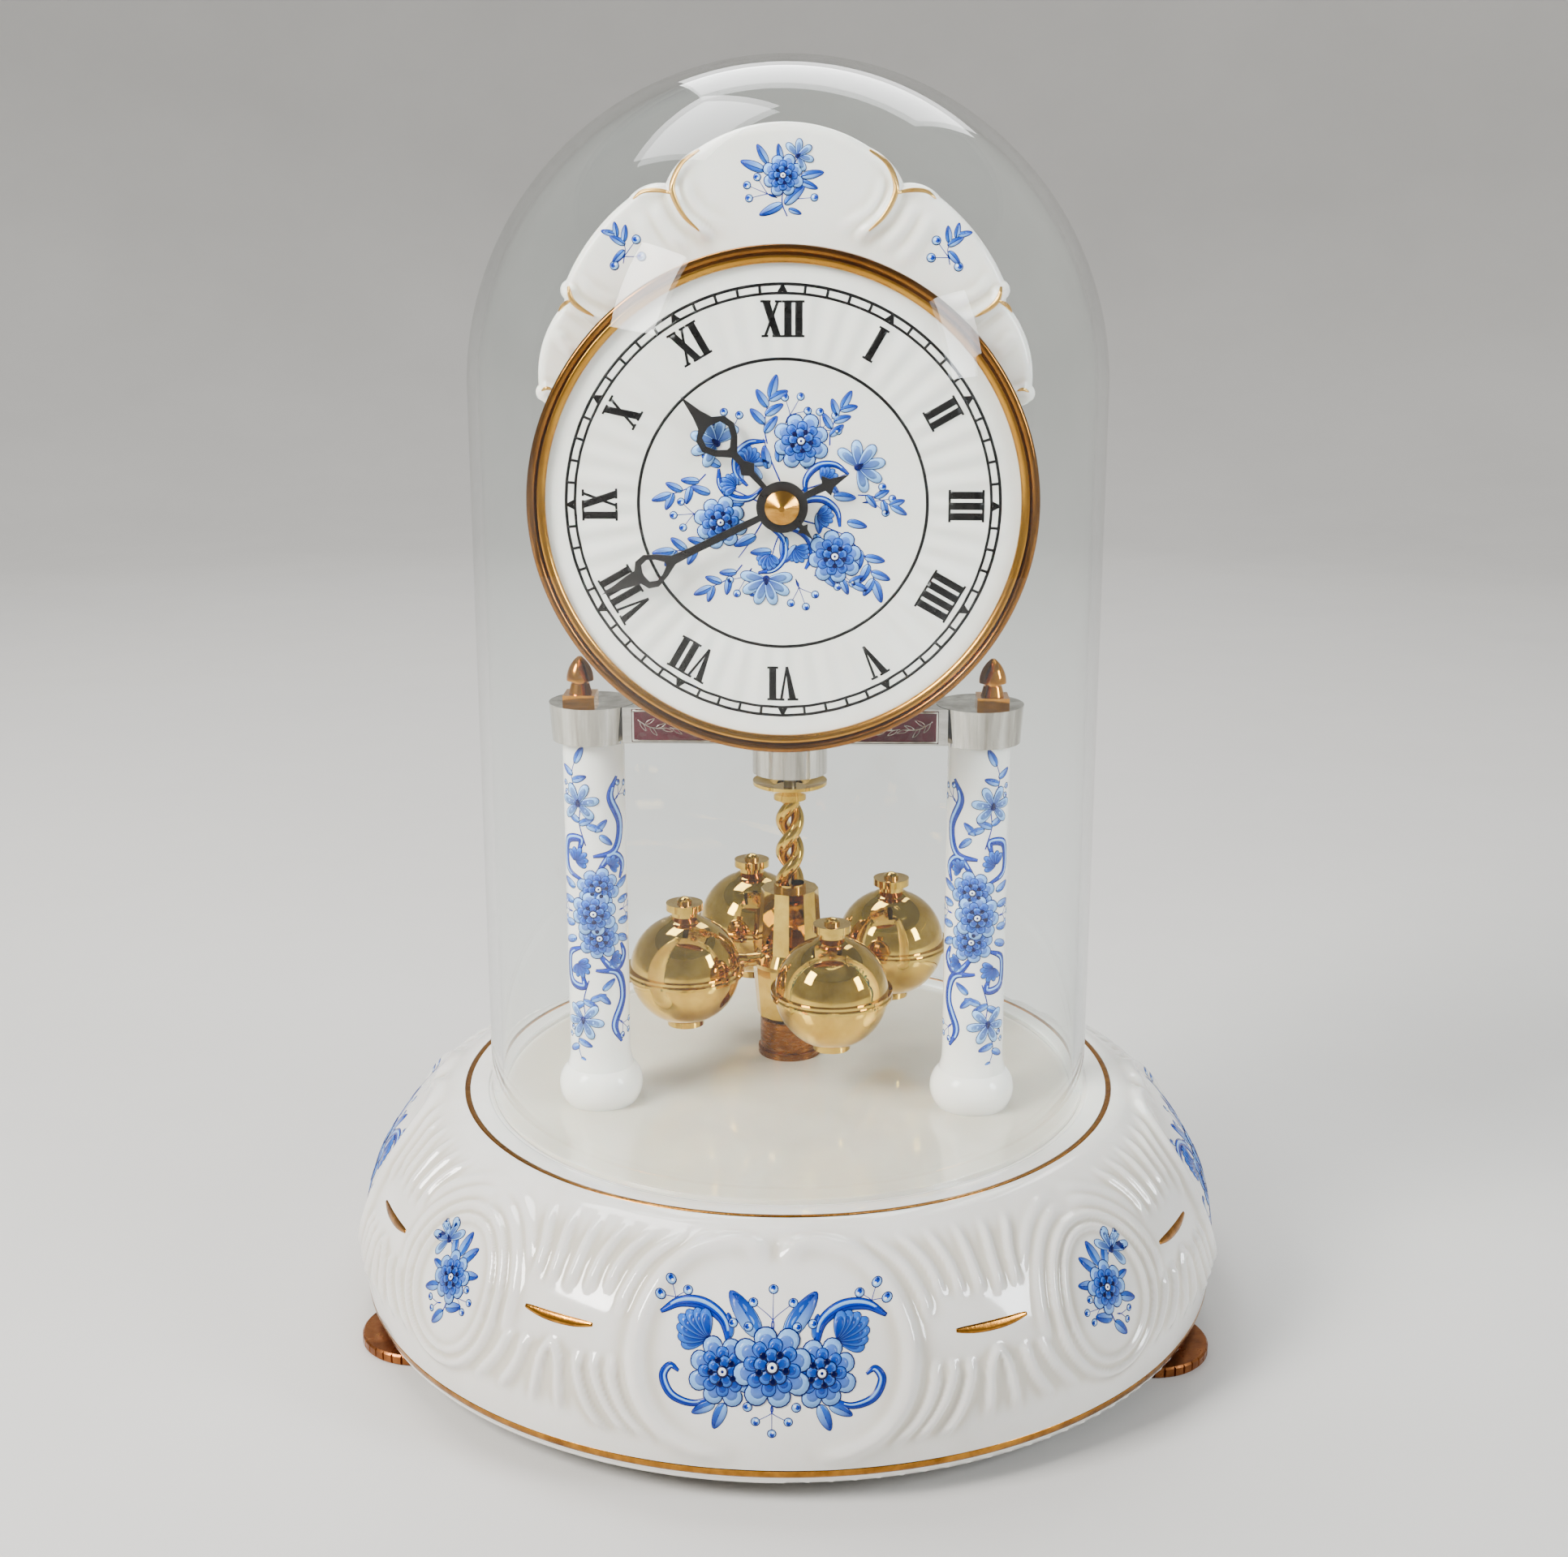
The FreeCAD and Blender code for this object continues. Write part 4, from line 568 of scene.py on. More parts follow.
class Artwork:
    """Thin painted shapes, each a closed film that sits a hair above the glaze."""

    def __init__(self, lay):
        self.lay = lay
        self.flats, self.faces, self.tints, self.size = [], [], [], 0

    def store(self, flat, lift, faces, tints):
        self.flats.append(np.column_stack((flat, lift)))
        self.tints.append(np.broadcast_to(tints, (len(flat), 4)))
        self.faces += [tuple(self.size + k for k in f) for f in faces]
        self.size += len(flat)

    def fill(self, outline, level, tint):
        """A shape that every ray from its middle meets once. tint is a colour or a function of places."""
        outline = np.asarray(outline, float)
        n = len(outline)
        middle = outline.mean(0)
        flat = np.concatenate((outline, middle + (outline - middle) * 0.55, middle[None], outline))
        lift = np.concatenate((np.full(2 * n + 1, level), np.full(n, UNDER)))
        faces = []
        for i in range(n):
            j = (i + 1) % n
            faces += [(i, j, n + j, n + i), (n + i, n + j, 2 * n), (2 * n + 1 + i, 2 * n + 1 + j, j, i)]
        faces.append(tuple(2 * n + 1 + i for i in reversed(range(n))))
        self.store(flat, lift, faces, tint(flat) if callable(tint) else tint)

    def stroke(self, path, widths, level, tint, crown=0.0, closed=False):
        """A ribbon along a path. crown raises its middle, for thick gold."""
        path = np.asarray(path, float)
        ahead = np.roll(path, -1, 0) - np.roll(path, 1, 0)
        if not closed:
            ahead[0], ahead[-1] = path[1] - path[0], path[-1] - path[-2]
        ahead /= np.maximum(np.hypot(*ahead.T), 1e-9)[:, None]
        across = np.column_stack((-ahead[:, 1], ahead[:, 0]))
        half = np.broadcast_to(widths, (len(path),))[:, None] / 2
        shares = (-1.0, -1.0, -0.55, 0.0, 0.55, 1.0, 1.0) if crown else (-1.0, -1.0, 1.0, 1.0)
        raised = (UNDER, level, level + 0.7 * crown, level + crown, level + 0.7 * crown, level, UNDER)
        lifts = raised if crown else (UNDER, level, level, UNDER)
        flat = np.stack([path + across * half * s for s in shares], 1).reshape(-1, 2)
        lift = np.tile(lifts, len(path))
        rows, columns = len(path), len(shares)
        faces = lattice(rows, columns, closed, True)
        if not closed:
            faces += [tuple(range(columns)), tuple(rows * columns - 1 - k for k in range(columns))]
        self.store(flat, lift, faces, tint(flat) if callable(tint) else tint)

    def piece(self, name, look, slot=None):
        new_piece(name, self.lay(*np.concatenate(self.flats).T), self.faces, look, slot,
                  tints=np.concatenate(self.tints))


def petal_outline(near, far, width, count=18):
    t = np.linspace(0, TURN, count, endpoint=False)
    share = (1 - np.cos(t)) / 2
    return np.column_stack((near + (far - near) * share, width / 2 * np.sin(t) * (0.42 + 0.62 * share)))


def graded(move, near, far, base, tip, power):
    """Colour that runs along a shape's own length."""
    start, end = move([(near, 0)])[0], move([(far, 0)])[0]
    axis = end - start
    return lambda flat: mix(base, tip, np.clip((flat - start) @ axis / (axis @ axis), 0, 1) ** power)


def petal(art, move, near, far, width, base, tip, level, line, ink=INK):
    """A petal with an ink edge, a pale rim and a deeper middle."""
    art.fill(move(petal_outline(near - line, far + line, width + 2.2 * line)), level, ink)
    art.fill(move(petal_outline(near, far, width)), level + 0.007, tip)
    end = near + (far - near) * 0.8
    heart = graded(move, near, end, base, mix(base, tip, 0.4), 0.8)
    art.fill(move(petal_outline(near, end, width * 0.7)), level + 0.012, heart)


def blossom(art, move, radius, tone, level):
    """A full flower: pale outer petals, deeper inner ones, dark eyes and a white heart."""
    line = 0.1 + 0.022 * radius
    pale, sky = mix(PALE, SKY, tone * 0.5), mix(SKY, BLUE, tone * 0.5)
    order = (*range(0, PETALS, 2), *range(1, PETALS, 2))
    wide, slim = TURN * radius * 0.82 / PETALS, TURN * radius * 0.5 / PETALS
    for k in order:
        spin = at(move, turn=360 / PETALS * k + 10)
        reach = radius * (1.0 if k % 2 else 0.95) - line
        petal(art, spin, radius * 0.2, reach, wide, BLUE, pale, level + STEP * (k % 2), line)
    for k in order:
        spin = at(move, turn=360 / PETALS * (k + 0.5) + 10)
        petal(art, spin, radius * 0.18, radius * 0.66, slim, DEEP, sky, level + STEP * (2 + k % 2),
              line * 0.75)
    for k in range(HEARTS):
        spin = at(move, turn=360 / HEARTS * k + 90)
        petal(art, spin, radius * 0.06, radius * 0.42, radius * 0.34, DEEP, SKY, level + STEP * (4 + k),
              line * 0.8, NAVY)
    eyes = [at(move, turn=360 / HEARTS * (k + 0.5) + 90) for k in range(HEARTS)]
    for eye in eyes:
        disc(art, at(eye, radius * 0.33), radius * 0.09, NAVY, level + STEP * 9.5)
    disc(art, move, radius * 0.17, NAVY, level + STEP * 9.5)
    disc(art, move, radius * 0.115, WHITE, level + STEP * 10)
    disc(art, move, radius * 0.045, INK, level + STEP * 10.5)


def disc(art, move, radius, tint, level, count=14):
    t = np.linspace(0, TURN, count, endpoint=False)
    art.fill(move(np.column_stack((np.cos(t), np.sin(t))) * radius), level, tint)


def side_flower(art, move, radius, petals, spread, level):
    """A flower seen from the side: a fan of petals out of a dark cup. It faces +x."""
    order = sorted(range(petals), key=lambda k: -abs(k - (petals - 1) / 2))
    for k in order:
        spin = at(move, turn=(k / (petals - 1) - 0.5) * spread)
        petal(art, spin, 0.0, radius, radius * 0.5, DEEP, PALE, level + STEP * order.index(k), 0.17)
    petal(art, at(move, turn=180), -radius * 0.2, radius * 0.18, radius * 0.32, NAVY, INK,
          level + STEP * petals, 0.05)


def leaf(art, move, length, width, level=0.05, line=0.17):
    t = np.linspace(0, TURN, 20, endpoint=False)
    share = (1 - np.cos(t)) / 2

    def outline(grow):
        bow = np.sin(t) * (1 - 0.35 * share)
        return np.column_stack((-grow + (length + 2 * grow) * share, (width / 2 + grow) * bow))
    art.fill(move(outline(line)), level, INK)
    art.fill(move(outline(0)), level + 0.012, graded(move, 0, length, PALE, BLUE, 0.9))
    bow = width / 2 * np.abs(np.sin(t)) * (t < math.pi) * 0.8 + 0.02
    art.fill(move(np.column_stack((length * share * 0.94, bow))), level + 0.018,
             graded(move, 0, length, SKY, DEEP, 0.8))
    rib = move([(0, 0), (length * 0.5, 0.02 * length), (length * 0.93, 0)])
    art.stroke(rib, [0.18, 0.15, 0.06], level + 0.024, INK)


def leaves(art, outer, slim, places):
    """Leaves at places (x, y, turn, length), each as wide as a share of its length."""
    for x, y, turn, length in places:
        leaf(art, at(outer, x, y, turn), length, length * slim)


def berry(art, move, radius, level=0.05):
    disc(art, move, radius, INK, level)
    disc(art, move, radius - 0.2, PALE, level + 0.012)
    disc(art, at(move, radius * 0.28, radius * 0.05), radius * 0.5, BLUE, level + 0.018)
    disc(art, at(move, -radius * 0.25, radius * 0.22), radius * 0.27, WHITE, level + 0.024, 8)
    disc(art, at(move, radius * 0.45, 0), radius * 0.16, NAVY, level + 0.024, 8)


def twig(art, move, points, width=0.3):
    path = smooth_path(points, 6 * len(points))
    taper = np.linspace(1.0, 0.6, len(path))
    art.stroke(move(path), width * taper, 0.035, STEM)


def sprig(art, move, length, count, size):
    """A curved twig with leaves on alternate sides and one at its tip. It grows along +x."""
    bend = 0.2 * length
    line = [(0, 0), (length * 0.35, bend * 0.5), (length * 0.7, bend * 0.45), (length, bend * 0.2)]
    path = smooth_path(line, 40)
    twig(art, move, line)
    for k in range(count - 1):
        i = int(39 * (0.25 + 0.7 * k / (count - 2)))
        ahead = path[i] - path[i - 1]
        heading = math.degrees(math.atan2(ahead[1], ahead[0])) + (48 if k % 2 else -48)
        leaf(art, at(move, *path[i], heading), 3.1 * size, 1.5 * size)
    leaf(art, at(move, *path[-1], -10), 3.6 * size, 1.6 * size)


def berries(art, move, length, count, radius, fan=0):
    """A forked twig with a berry at each end. It grows along +x."""
    for k in range(count):
        a = math.radians((k - (count - 1) / 2) * fan)
        reach = length * (1.0 if k % 2 else 0.86)
        tip = (length * 0.3 + reach * 0.7 * math.cos(a), reach * 0.7 * math.sin(a))
        twig(art, move, [(0, 0), (length * 0.3, 0), tip], 0.22)
        berry(art, at(move, *tip), radius)


def scroll(art, move, points, width, level=0.055):
    """A thick and thin leaf scroll: ink edge, blue body and a pale stripe."""
    path = smooth_path(points, 9 * len(points))
    swell = np.sin(np.linspace(0.12, math.pi - 0.12, len(path))) ** 0.8
    art.stroke(move(path), width * swell + 0.34, level, INK)
    art.stroke(move(path), width * swell, level + 0.012, BLUE)
    normal = np.gradient(path, axis=0)
    normal = np.column_stack((-normal[:, 1], normal[:, 0])) / np.hypot(*normal.T)[:, None]
    keep = slice(len(path) // 7, -(len(path) // 7))
    for shift, share, tint in ((0.18, 0.3, PALE), (-0.22, 0.14, DEEP)):
        stripe = (path + normal * width * shift * swell[:, None])[keep]
        art.stroke(move(stripe), width * share * swell[keep], level + 0.018, tint)


def shell(art, move, radius, ribs, fan, level=0.06):
    """A ribbed shell that opens along +x."""
    for k in range(ribs):
        heading = (k / (ribs - 1) - 0.5) * fan
        reach = radius * (1 - 0.22 * abs(heading) / fan * 2)
        spin = at(move, turn=heading)
        petal(art, spin, radius * 0.08, reach, radius * 0.4, DEEP, SKY, level + STEP * k, 0.15)


# painted decoration, drawn in motifs of this file's own
def paint_cartouche(middle, name, look):
    """Three flowers in a row, leaves and berries above and below, shells and scrolls at both sides."""
    art = Artwork(on_belly(middle, 23.2))
    for flip in (False, True):
        side = put(flip=flip)
        shell(art, at(side, 12.6, 3.8, 32), 7.4, 7, 96)
        scroll(art, side, [(8.6, 2.8), (9.8, 7.6), (13.8, 10.4), (18.6, 10.4), (22.6, 8)], 2.3)
        hook = [(11.4, -7), (15.6, -8.8), (20, -7.6), (21.8, -4.2), (20.4, -1.9), (18.6, -2.8)]
        scroll(art, side, hook, 1.5)
        berries(art, at(side, 19.2, 9.6, 74), 5, 3, 1.05, 70)
        leaf(art, at(side, 2.6, 4.8, 55), 10.4, 4.6)
        leaf(art, at(side, 9.4, -8.4, -68), 5.6, 2.8)
        leaf(art, at(side, 11.4, -8.4, -28), 5, 2.4)
        leaf(art, at(side, 8.4, 4.4, 84), 4.6, 2)
        for x, y in ((4.8, 6.6), (7.9, 7.2), (4.8, -8.8)):
            berry(art, at(side, x, y), 1, 0.07)
        blossom(art, at(side, 9.8, -2.2, 12), 7.2, 0.5, 0.09)
    berries(art, put(0, 5.4, 90), 8.6, 3, 1, 50)
    berries(art, put(0, -8, -90), 6.2, 3, 0.95, 60)
    blossom(art, put(0, -1, 4), 8.4, 0.3, 0.2)
    art.piece(name, look)


def paint_oval(middle, name, look, flip):
    """A single flower with a small one above it, leaves and berries."""
    art = Artwork(on_belly(middle, 25.8))
    side = put(flip=flip)
    twig(art, side, [(0.5, -9), (-0.6, -5), (0.2, 0), (2.4, 4.4), (5, 6.6)], 0.34)
    side_flower(art, at(side, 5.4, 6.4, 42), 4.7, 5, 200, 0.07)
    leaves(art, side, 0.5, (
        (-1.2, 3.6, 128, 5.2), (0.2, 4.6, 98, 5.6), (1.8, 4.2, 62, 4.6), (3.4, -3, -24, 4.6),
        (-0.8, -6.4, 158, 4.8), (0, -7.4, -48, 4.8), (-3.4, 1.6, 166, 4.2), (3.8, 0.6, 8, 3.6)))
    berries(art, at(side, -2, -3.4, 176), 5.4, 3, 0.85, 46)
    berries(art, at(side, 1, -6, -20), 4.2, 2, 0.8, 50)
    blossom(art, at(side, 0, 0, 20), 5.7, 0.4, 0.09)
    art.piece(name, look)


def paint_wreath(look):
    """A loose round of flowers, shells, leaf twigs and berries in the middle of the dial."""
    art = Artwork(on_dial)
    for angle, reach, bend in ((96, 14, 0.5), (38, 14.5, -0.6), (-38, 13.5, 0.6), (172, 14, -0.5),
                               (218, 14, 0.6), (268, 11.5, -0.4)):
        twig(art, put(turn=angle), [(5, 0), (reach * 0.7, bend * 3), (reach, bend * 5)], 0.34)
    for angle, reach, heading, size, count in (
            (104, 13, 84, 1.3, 6), (52, 15.6, 70, 1.1, 6), (-28, 16.2, -62, 1.3, 6),
            (-66, 16, -14, 1.1, 5), (206, 15.5, 196, 1.25, 5), (158, 17, 208, 1.15, 5),
            (236, 15, 214, 1.1, 5), (8, 15.6, -20, 1, 5)):
        sprig(art, polar(angle, reach, heading), 7.2 * size, count, size)
    for angle, reach, heading in ((126, 16.4, 112), (66, 15.4, 44), (2, 16.4, 8), (-50, 15.6, -44),
                                  (244, 14.6, 240), (186, 16.4, 184), (-80, 15.6, -70), (88, 16.8, 60)):
        berries(art, polar(angle, reach, heading), 6.2, 3, 0.86, 46)
    curl = [(-4.6, -2.2), (-3.4, 1.2), (-0.2, 2.9), (3.2, 2), (5.2, -0.8)]
    for x, y, turn in ((-6.8, 9, 60), (8.4, 5.4, 20), (7.4, -1.6, -24), (-9, 4.2, 150), (-2.4, -9.6, -112),
                       (2.8, -8.4, -60)):
        scroll(art, put(x, y, turn), curl, 1.25)
        shell(art, put(x - 0.4, y - 0.4, turn + 12), 3.7, 6, 104)
        leaf(art, put(x, y, turn - 64), 4.2, 1.9)
    leaves(art, put(), 0.48, (
        (-3, 7.6, 100, 4.6), (4.6, 7.6, 60, 4.8), (10.6, 2, -6, 4.4), (6.8, -6, -70, 4.2),
        (-5.6, -6.4, 205, 4.8), (-8, 0.4, 176, 4.2), (-4.4, 5.4, 128, 4), (0.6, -6.6, -100, 4.2),
        (13.4, -3.4, -14, 4), (-12.8, 8, 150, 4.2), (-0.8, 9, 84, 4.4), (-15, 2.4, 160, 4)))
    for x, y, turn, spread in ((-13.6, 12.8, 140, 210), (15.6, 8, 32, 215), (-3.4, -15.6, -92, 200)):
        side_flower(art, put(x, y, turn), 5.4, 6, spread, 0.09)
    blossom(art, put(3.8, 13.2, 8), 6, 0.45, 0.1)
    blossom(art, put(-12.8, -3.6, 20), 5.7, 0.1, 0.1)
    blossom(art, put(10.8, -10.6, 0), 5.9, 0.5, 0.1)
    art.piece("dial_wreath", look)


def paint_column(side, name, look):
    """A tall spray: flower and twig at each end, three big flowers in the middle, scrolls between."""
    art = Artwork(on_column(side))
    flip = side > 0
    for way, centre in ((1, 99.0), (-1, 98.2)):
        base = put(0, centre, flip=flip)

        def spot(x, y, turn):
            return at(base, x, way * y, turn * way)

        def line(*places):
            return [(x, way * y) for x, y in places]
        scroll(art, base, line((6.2, 31), (4.4, 26.5), (7, 20), (5.4, 14.2), (0.2, 13)), 1.9)
        scroll(art, base, line((0.6, 8.6), (4.4, 13), (7.6, 10.6), (6.6, 7.2)), 1.7)
        scroll(art, base, line((-2.4, 7.4), (-6.8, 10), (-6.6, 16), (-2.6, 17), (-3.2, 13.6)), 1.7)
        shell(art, spot(-4.2, 11.6, 50), 3.8, 6, 140)
        shell(art, spot(3.8, 10.4, 30), 3, 5, 130)
        twig(art, base, line((-1.4, 15.5), (-2.8, 20.5), (-2.6, 25), (-4.6, 31), (-3.4, 35.5)), 0.3)
        for x, y, turn in ((-2.8, 20.4, 24), (-1, 20.2, -20), (0.8, 18.8, 44), (1.8, 17.8, -40),
                           (-4.4, 30.2, 20), (-4.4, 31.6, 152), (-2.8, 21, 150)):
            leaf(art, spot(x, y, turn), 3.6, 1.7)
        leaf(art, spot(-3.6, 34.4, 62), 4.2, 1.9)
        berries(art, spot(5.6, 25.6, 44), 4.8, 3, 0.78, 48)
        berries(art, spot(-4.2, 29.4, -160), 3.2, 2, 0.74, 60)
        side_flower(art, spot(-3, 25.2, 90), 4.8, 6, 270, 0.09)
        for x, y, turn in ((5.6, 5.4, 24), (6, 2, 4), (-4.4, 5.6, 160), (-4.8, 2.2, 176)):
            leaf(art, spot(x, y, turn), 4.2, 2)
        blossom(art, spot(1.2, 5.4, 20), 5.2, 0.55, 0.09)
    middle = put(0, 98.6, flip=flip)
    berries(art, at(middle, -5.4, 0, 180), 4.2, 3, 0.74, 54)
    berries(art, at(middle, 6.2, 0.2, 4), 4.4, 3, 0.74, 54)
    blossom(art, put(0, 98.6, 4, flip=flip), 5.6, 0.2, 0.19)
    art.piece(name, look)


def paint_crown(look):
    """A spray in the middle lobe and a small twig on each shoulder."""
    art = Artwork(on_crown)
    twig(art, put(), [(0.6, 57.6), (-0.4, 60.4), (0.2, 64), (2.4, 68.4), (3.6, 70.2)], 0.28)
    side_flower(art, put(2.8, 69.4, 34), 3.2, 5, 200, 0.09)
    leaves(art, put(), 0.42, (
        (-4, 66.6, 160, 5), (-3.4, 68, 120, 4), (-0.6, 68.4, 100, 3.2), (3.6, 65.4, 10, 4.4),
        (3.4, 64.4, -22, 3.6), (-0.4, 60, 205, 5), (0.2, 60, 42, 5.2), (1, 59, -20, 2.6)))
    berries(art, put(-1.4, 61.2, 158), 6.6, 3, 0.85, 34)
    berries(art, put(2.2, 61, 4), 4.4, 1, 0.85)
    blossom(art, put(-0.2, 65.6, 12), 4.4, 0.5, 0.09)
    for flip, x, z, spin in ((False, 33.2, 51.4, -28), (True, -32.4, 51.6, -22)):
        base = at(put(x, z), flip=flip)
        lean = spin * 0.3
        twig(art, base, [(0.6, -3.4), (0.2, 0), (2.2, 2.4)], 0.2)
        leaves(art, base, 0.44, (
            (0.2, 0.4, 36 + lean, 3.4), (0.4, 1, 104 + lean, 3.2), (0.4, -0.8, -40 + lean, 3.4),
            (1.8, 2, 88 + lean, 2.8), (2.2, 2.4, 20 + lean, 2.8)))
        for px, pz in ((-2.2, 1.4), (-3.2, -2), (2.4, -3.8)):
            twig(art, base, [(0.4, -2), (px, pz)], 0.2)
            berry(art, at(base, px, pz), 1)
    art.piece("crown_sprays", look)


def gold_lines(look, crown_look):
    """Burnished gold: rings and dashes on the base, arcs on the crown."""
    flat_top = TOP_Z + 0.3
    section = ((75.2, -0.3), (75.2, 0.04), (75.5, 0.12), (76.2, 0.12), (76.5, 0.04), (76.5, -0.3))
    new_piece("gold_ring_top", *lathe([(r, flat_top + z) for r, z in section], 360), look, "gold")
    section = ((-13, -0.3), (-12.8, 0.05), (-12.3, 0.12), (-11.5, 0.15), (-10.7, 0.12), (-10.2, 0.05),
               (-10, -0.3))
    ring = [belly_section(climb, BELLY_ARC + SKIN + lift) for climb, lift in section]
    new_piece("gold_ring_foot", *lathe(ring, 480), look, "gold")
    path = smooth_path([(-8.2, 0.3), (-3, -0.1), (3, -0.1), (8.2, 0.3)], 40)
    width = 0.5 + 1.5 * np.sin(np.linspace(0.05, math.pi - 0.05, 40)) ** 0.6
    for k in range(4):
        for part, turn in (("a", 27.0), ("b", 63.0)):
            art = Artwork(on_belly(QUARTER * k + turn, 27.2))
            art.stroke(path, width, 0.03, WHITE, 0.14)
            art.piece("gold_dash_%d%s" % (k, part), look, "gold")
    hook = [(51, 22.6), (49.8, 23.2), (48.6, 22.9)]
    for flip in (False, True):
        art = Artwork(on_crown)
        for line, width in ((LOBE, 1.2), (SHOULDER, 0.9), (HIP, 1.1), (HIP_TOP, 0.9), (hook, 0.7)):
            path = smooth_path(line, 12 * len(line))
            inset = path * (1 - 0.5 / np.hypot(*path.T))[:, None]
            taper = np.sin(np.linspace(0.25, math.pi - 0.12, len(path))) ** 0.6
            art.stroke(put(flip=flip)(inset), width * taper, 0.03, WHITE, 0.1)
        art.piece("gold_crown_" + ("left" if flip else "right"), crown_look, "gold")


# dial markings
NUMERALS = ("XII", "I", "II", "III", "IIII", "V", "VI", "VII", "VIII", "IX", "X", "XI")
NUMERAL_FOOT, NUMERAL_HEIGHT = 34.0, 7.3
TRACK_IN, TRACK_OUT = 42.7, 44.5
SERIF = 0.46
# half widths of the bars
THICK, THIN = 0.75, 0.29

# per letter its width, its bars (x at the foot, x at the head and the half widths there), and its serifs
# (x, half width, whether at the top)
LETTERS = {
    "I": (2.2, [(0, 0, THICK, THICK)], [(0, 2.2 * 0.52, True), (0, 2.2 * 0.52, False)]),
    "V": (4.2, [(0.25, -1.05, 0.3, THICK), (0.25, 1.45, 0.2, THIN)],
          [(-1.05, 1.15, True), (1.45, 0.75, True)]),
    "X": (4.4, [(1.2, -1.2, THICK, THICK), (-1.35, 1.35, THIN, THIN)],
          [(-1.2, 1.05, True), (1.35, 0.7, True), (1.2, 1.05, False), (-1.35, 0.7, False)]),
}


def numeral_strokes(word):
    """Quads of a Roman numeral, upright, from its foot up."""
    x = -sum(LETTERS[c][0] for c in word) / 2
    h = NUMERAL_HEIGHT
    quads = []
    for c in word:
        width, bars, serifs = LETTERS[c]
        m = x + width / 2
        for foot, head, low, high in bars:
            a, b = m + foot, m + head
            quads.append([(a - low, 0), (a + low, 0), (b + high, h), (b - high, h)])
        for shift, half, top in serifs:
            a, z = m + shift, h - SERIF if top else 0
            quads.append([(a - half, z), (a + half, z), (a + half, z + SERIF), (a - half, z + SERIF)])
        x += width
    return quads


def mark_dial(look):
    """Numerals, the minute track and the inner circle, in black enamel."""
    art = Artwork(on_dial)
    circle = np.linspace(0, TURN, 361)[:-1]
    ring = np.column_stack((np.cos(circle), np.sin(circle)))
    black = srgb("#0c0a0a")
    for radius, width in ((TRACK_OUT, 0.6), (TRACK_IN, 0.54), (29.7, 0.62)):
        art.stroke(ring * radius, width, 0.05, black, closed=True)
    for k in range(60):
        spin = put(turn=-6 * k)
        if k % 5:
            art.stroke(spin([(0, TRACK_IN), (0, TRACK_OUT)]), 0.56, 0.055, black)
        else:
            wedge = [(-1.15, TRACK_IN), (1.15, TRACK_IN), (0.22, TRACK_OUT), (-0.22, TRACK_OUT)]
            art.fill(spin(wedge), 0.06, black)
    for k, word in enumerate(NUMERALS):
        spin = at(put(turn=-30 * k), 0, NUMERAL_FOOT)
        for n, quad in enumerate(numeral_strokes(word)):
            art.fill(spin(along_sides(quad, 4)), 0.05 + 0.004 * (n % 4), black)
    art.piece("dial_markings", look)


def make_panel(enamel, silver):
    """The bridge's panel: enamel in a raised silver edge, with pairs of leaf sprigs."""
    low, high = (np.array(c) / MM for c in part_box("bridge_panel"))
    half, middle = (high - low) / 2, (high + low) / 2

    def lay(x, y, lift):
        return np.column_stack((middle[0] + x, np.full_like(x, low[1]) - lift, middle[2] + y))
    w, h = half[0] - 0.05, half[2] - 0.05
    edge = along_sides([(-w, -h), (w, -h), (w, h), (-w, h)], 40)
    inner = edge * ((w - 0.25) / w, (h - 0.25) / h)
    count = len(edge)
    rings = ((edge, -2 * half[1]), (edge, -0.16), (inner, 0.0))
    points = np.concatenate([lay(*line.T, np.full(count, depth)) for line, depth in rings])
    faces = lattice(3, count, False, True)
    faces += [tuple(range(count)), tuple(2 * count + k for k in reversed(range(count)))]
    new_piece("panel_enamel", points, faces, enamel, "inlay", replaces=["bridge_panel"], smooth=False)
    art = Artwork(lay)
    art.stroke(edge * ((w - 0.3) / w, (h - 0.3) / h), 0.42, 0.01, WHITE, 0.12, closed=True)
    stem = smooth_path([(0, -0.5), (3, 0.5), (6.2, 0.1)], 20)
    blade = smooth_path([(0, 0), (1, 0.36), (2.4, 0), (1, -0.36)], 16, closed=True)
    for flip in (False, True):
        for x, y, turn in ((32.2, 0.8, 192), (25, -0.9, 166), (17.4, 0.8, 192), (10, -0.9, 166)):
            side = at(put(flip=flip), x, y, turn)
            art.stroke(side(stem), 0.26, 0.01, WHITE, 0.09)
            for px, pz, spin in ((0.6, -0.2, 46), (1.8, 0.1, -44), (3, 0.5, 40), (4.2, 0.5, -38),
                                 (5.6, 0.2, 4)):
                art.stroke(at(side, px, pz, spin)(blade), 0.17, 0.012, WHITE, 0.08, closed=True)
    art.piece("panel_silver_lines", silver, "silver")


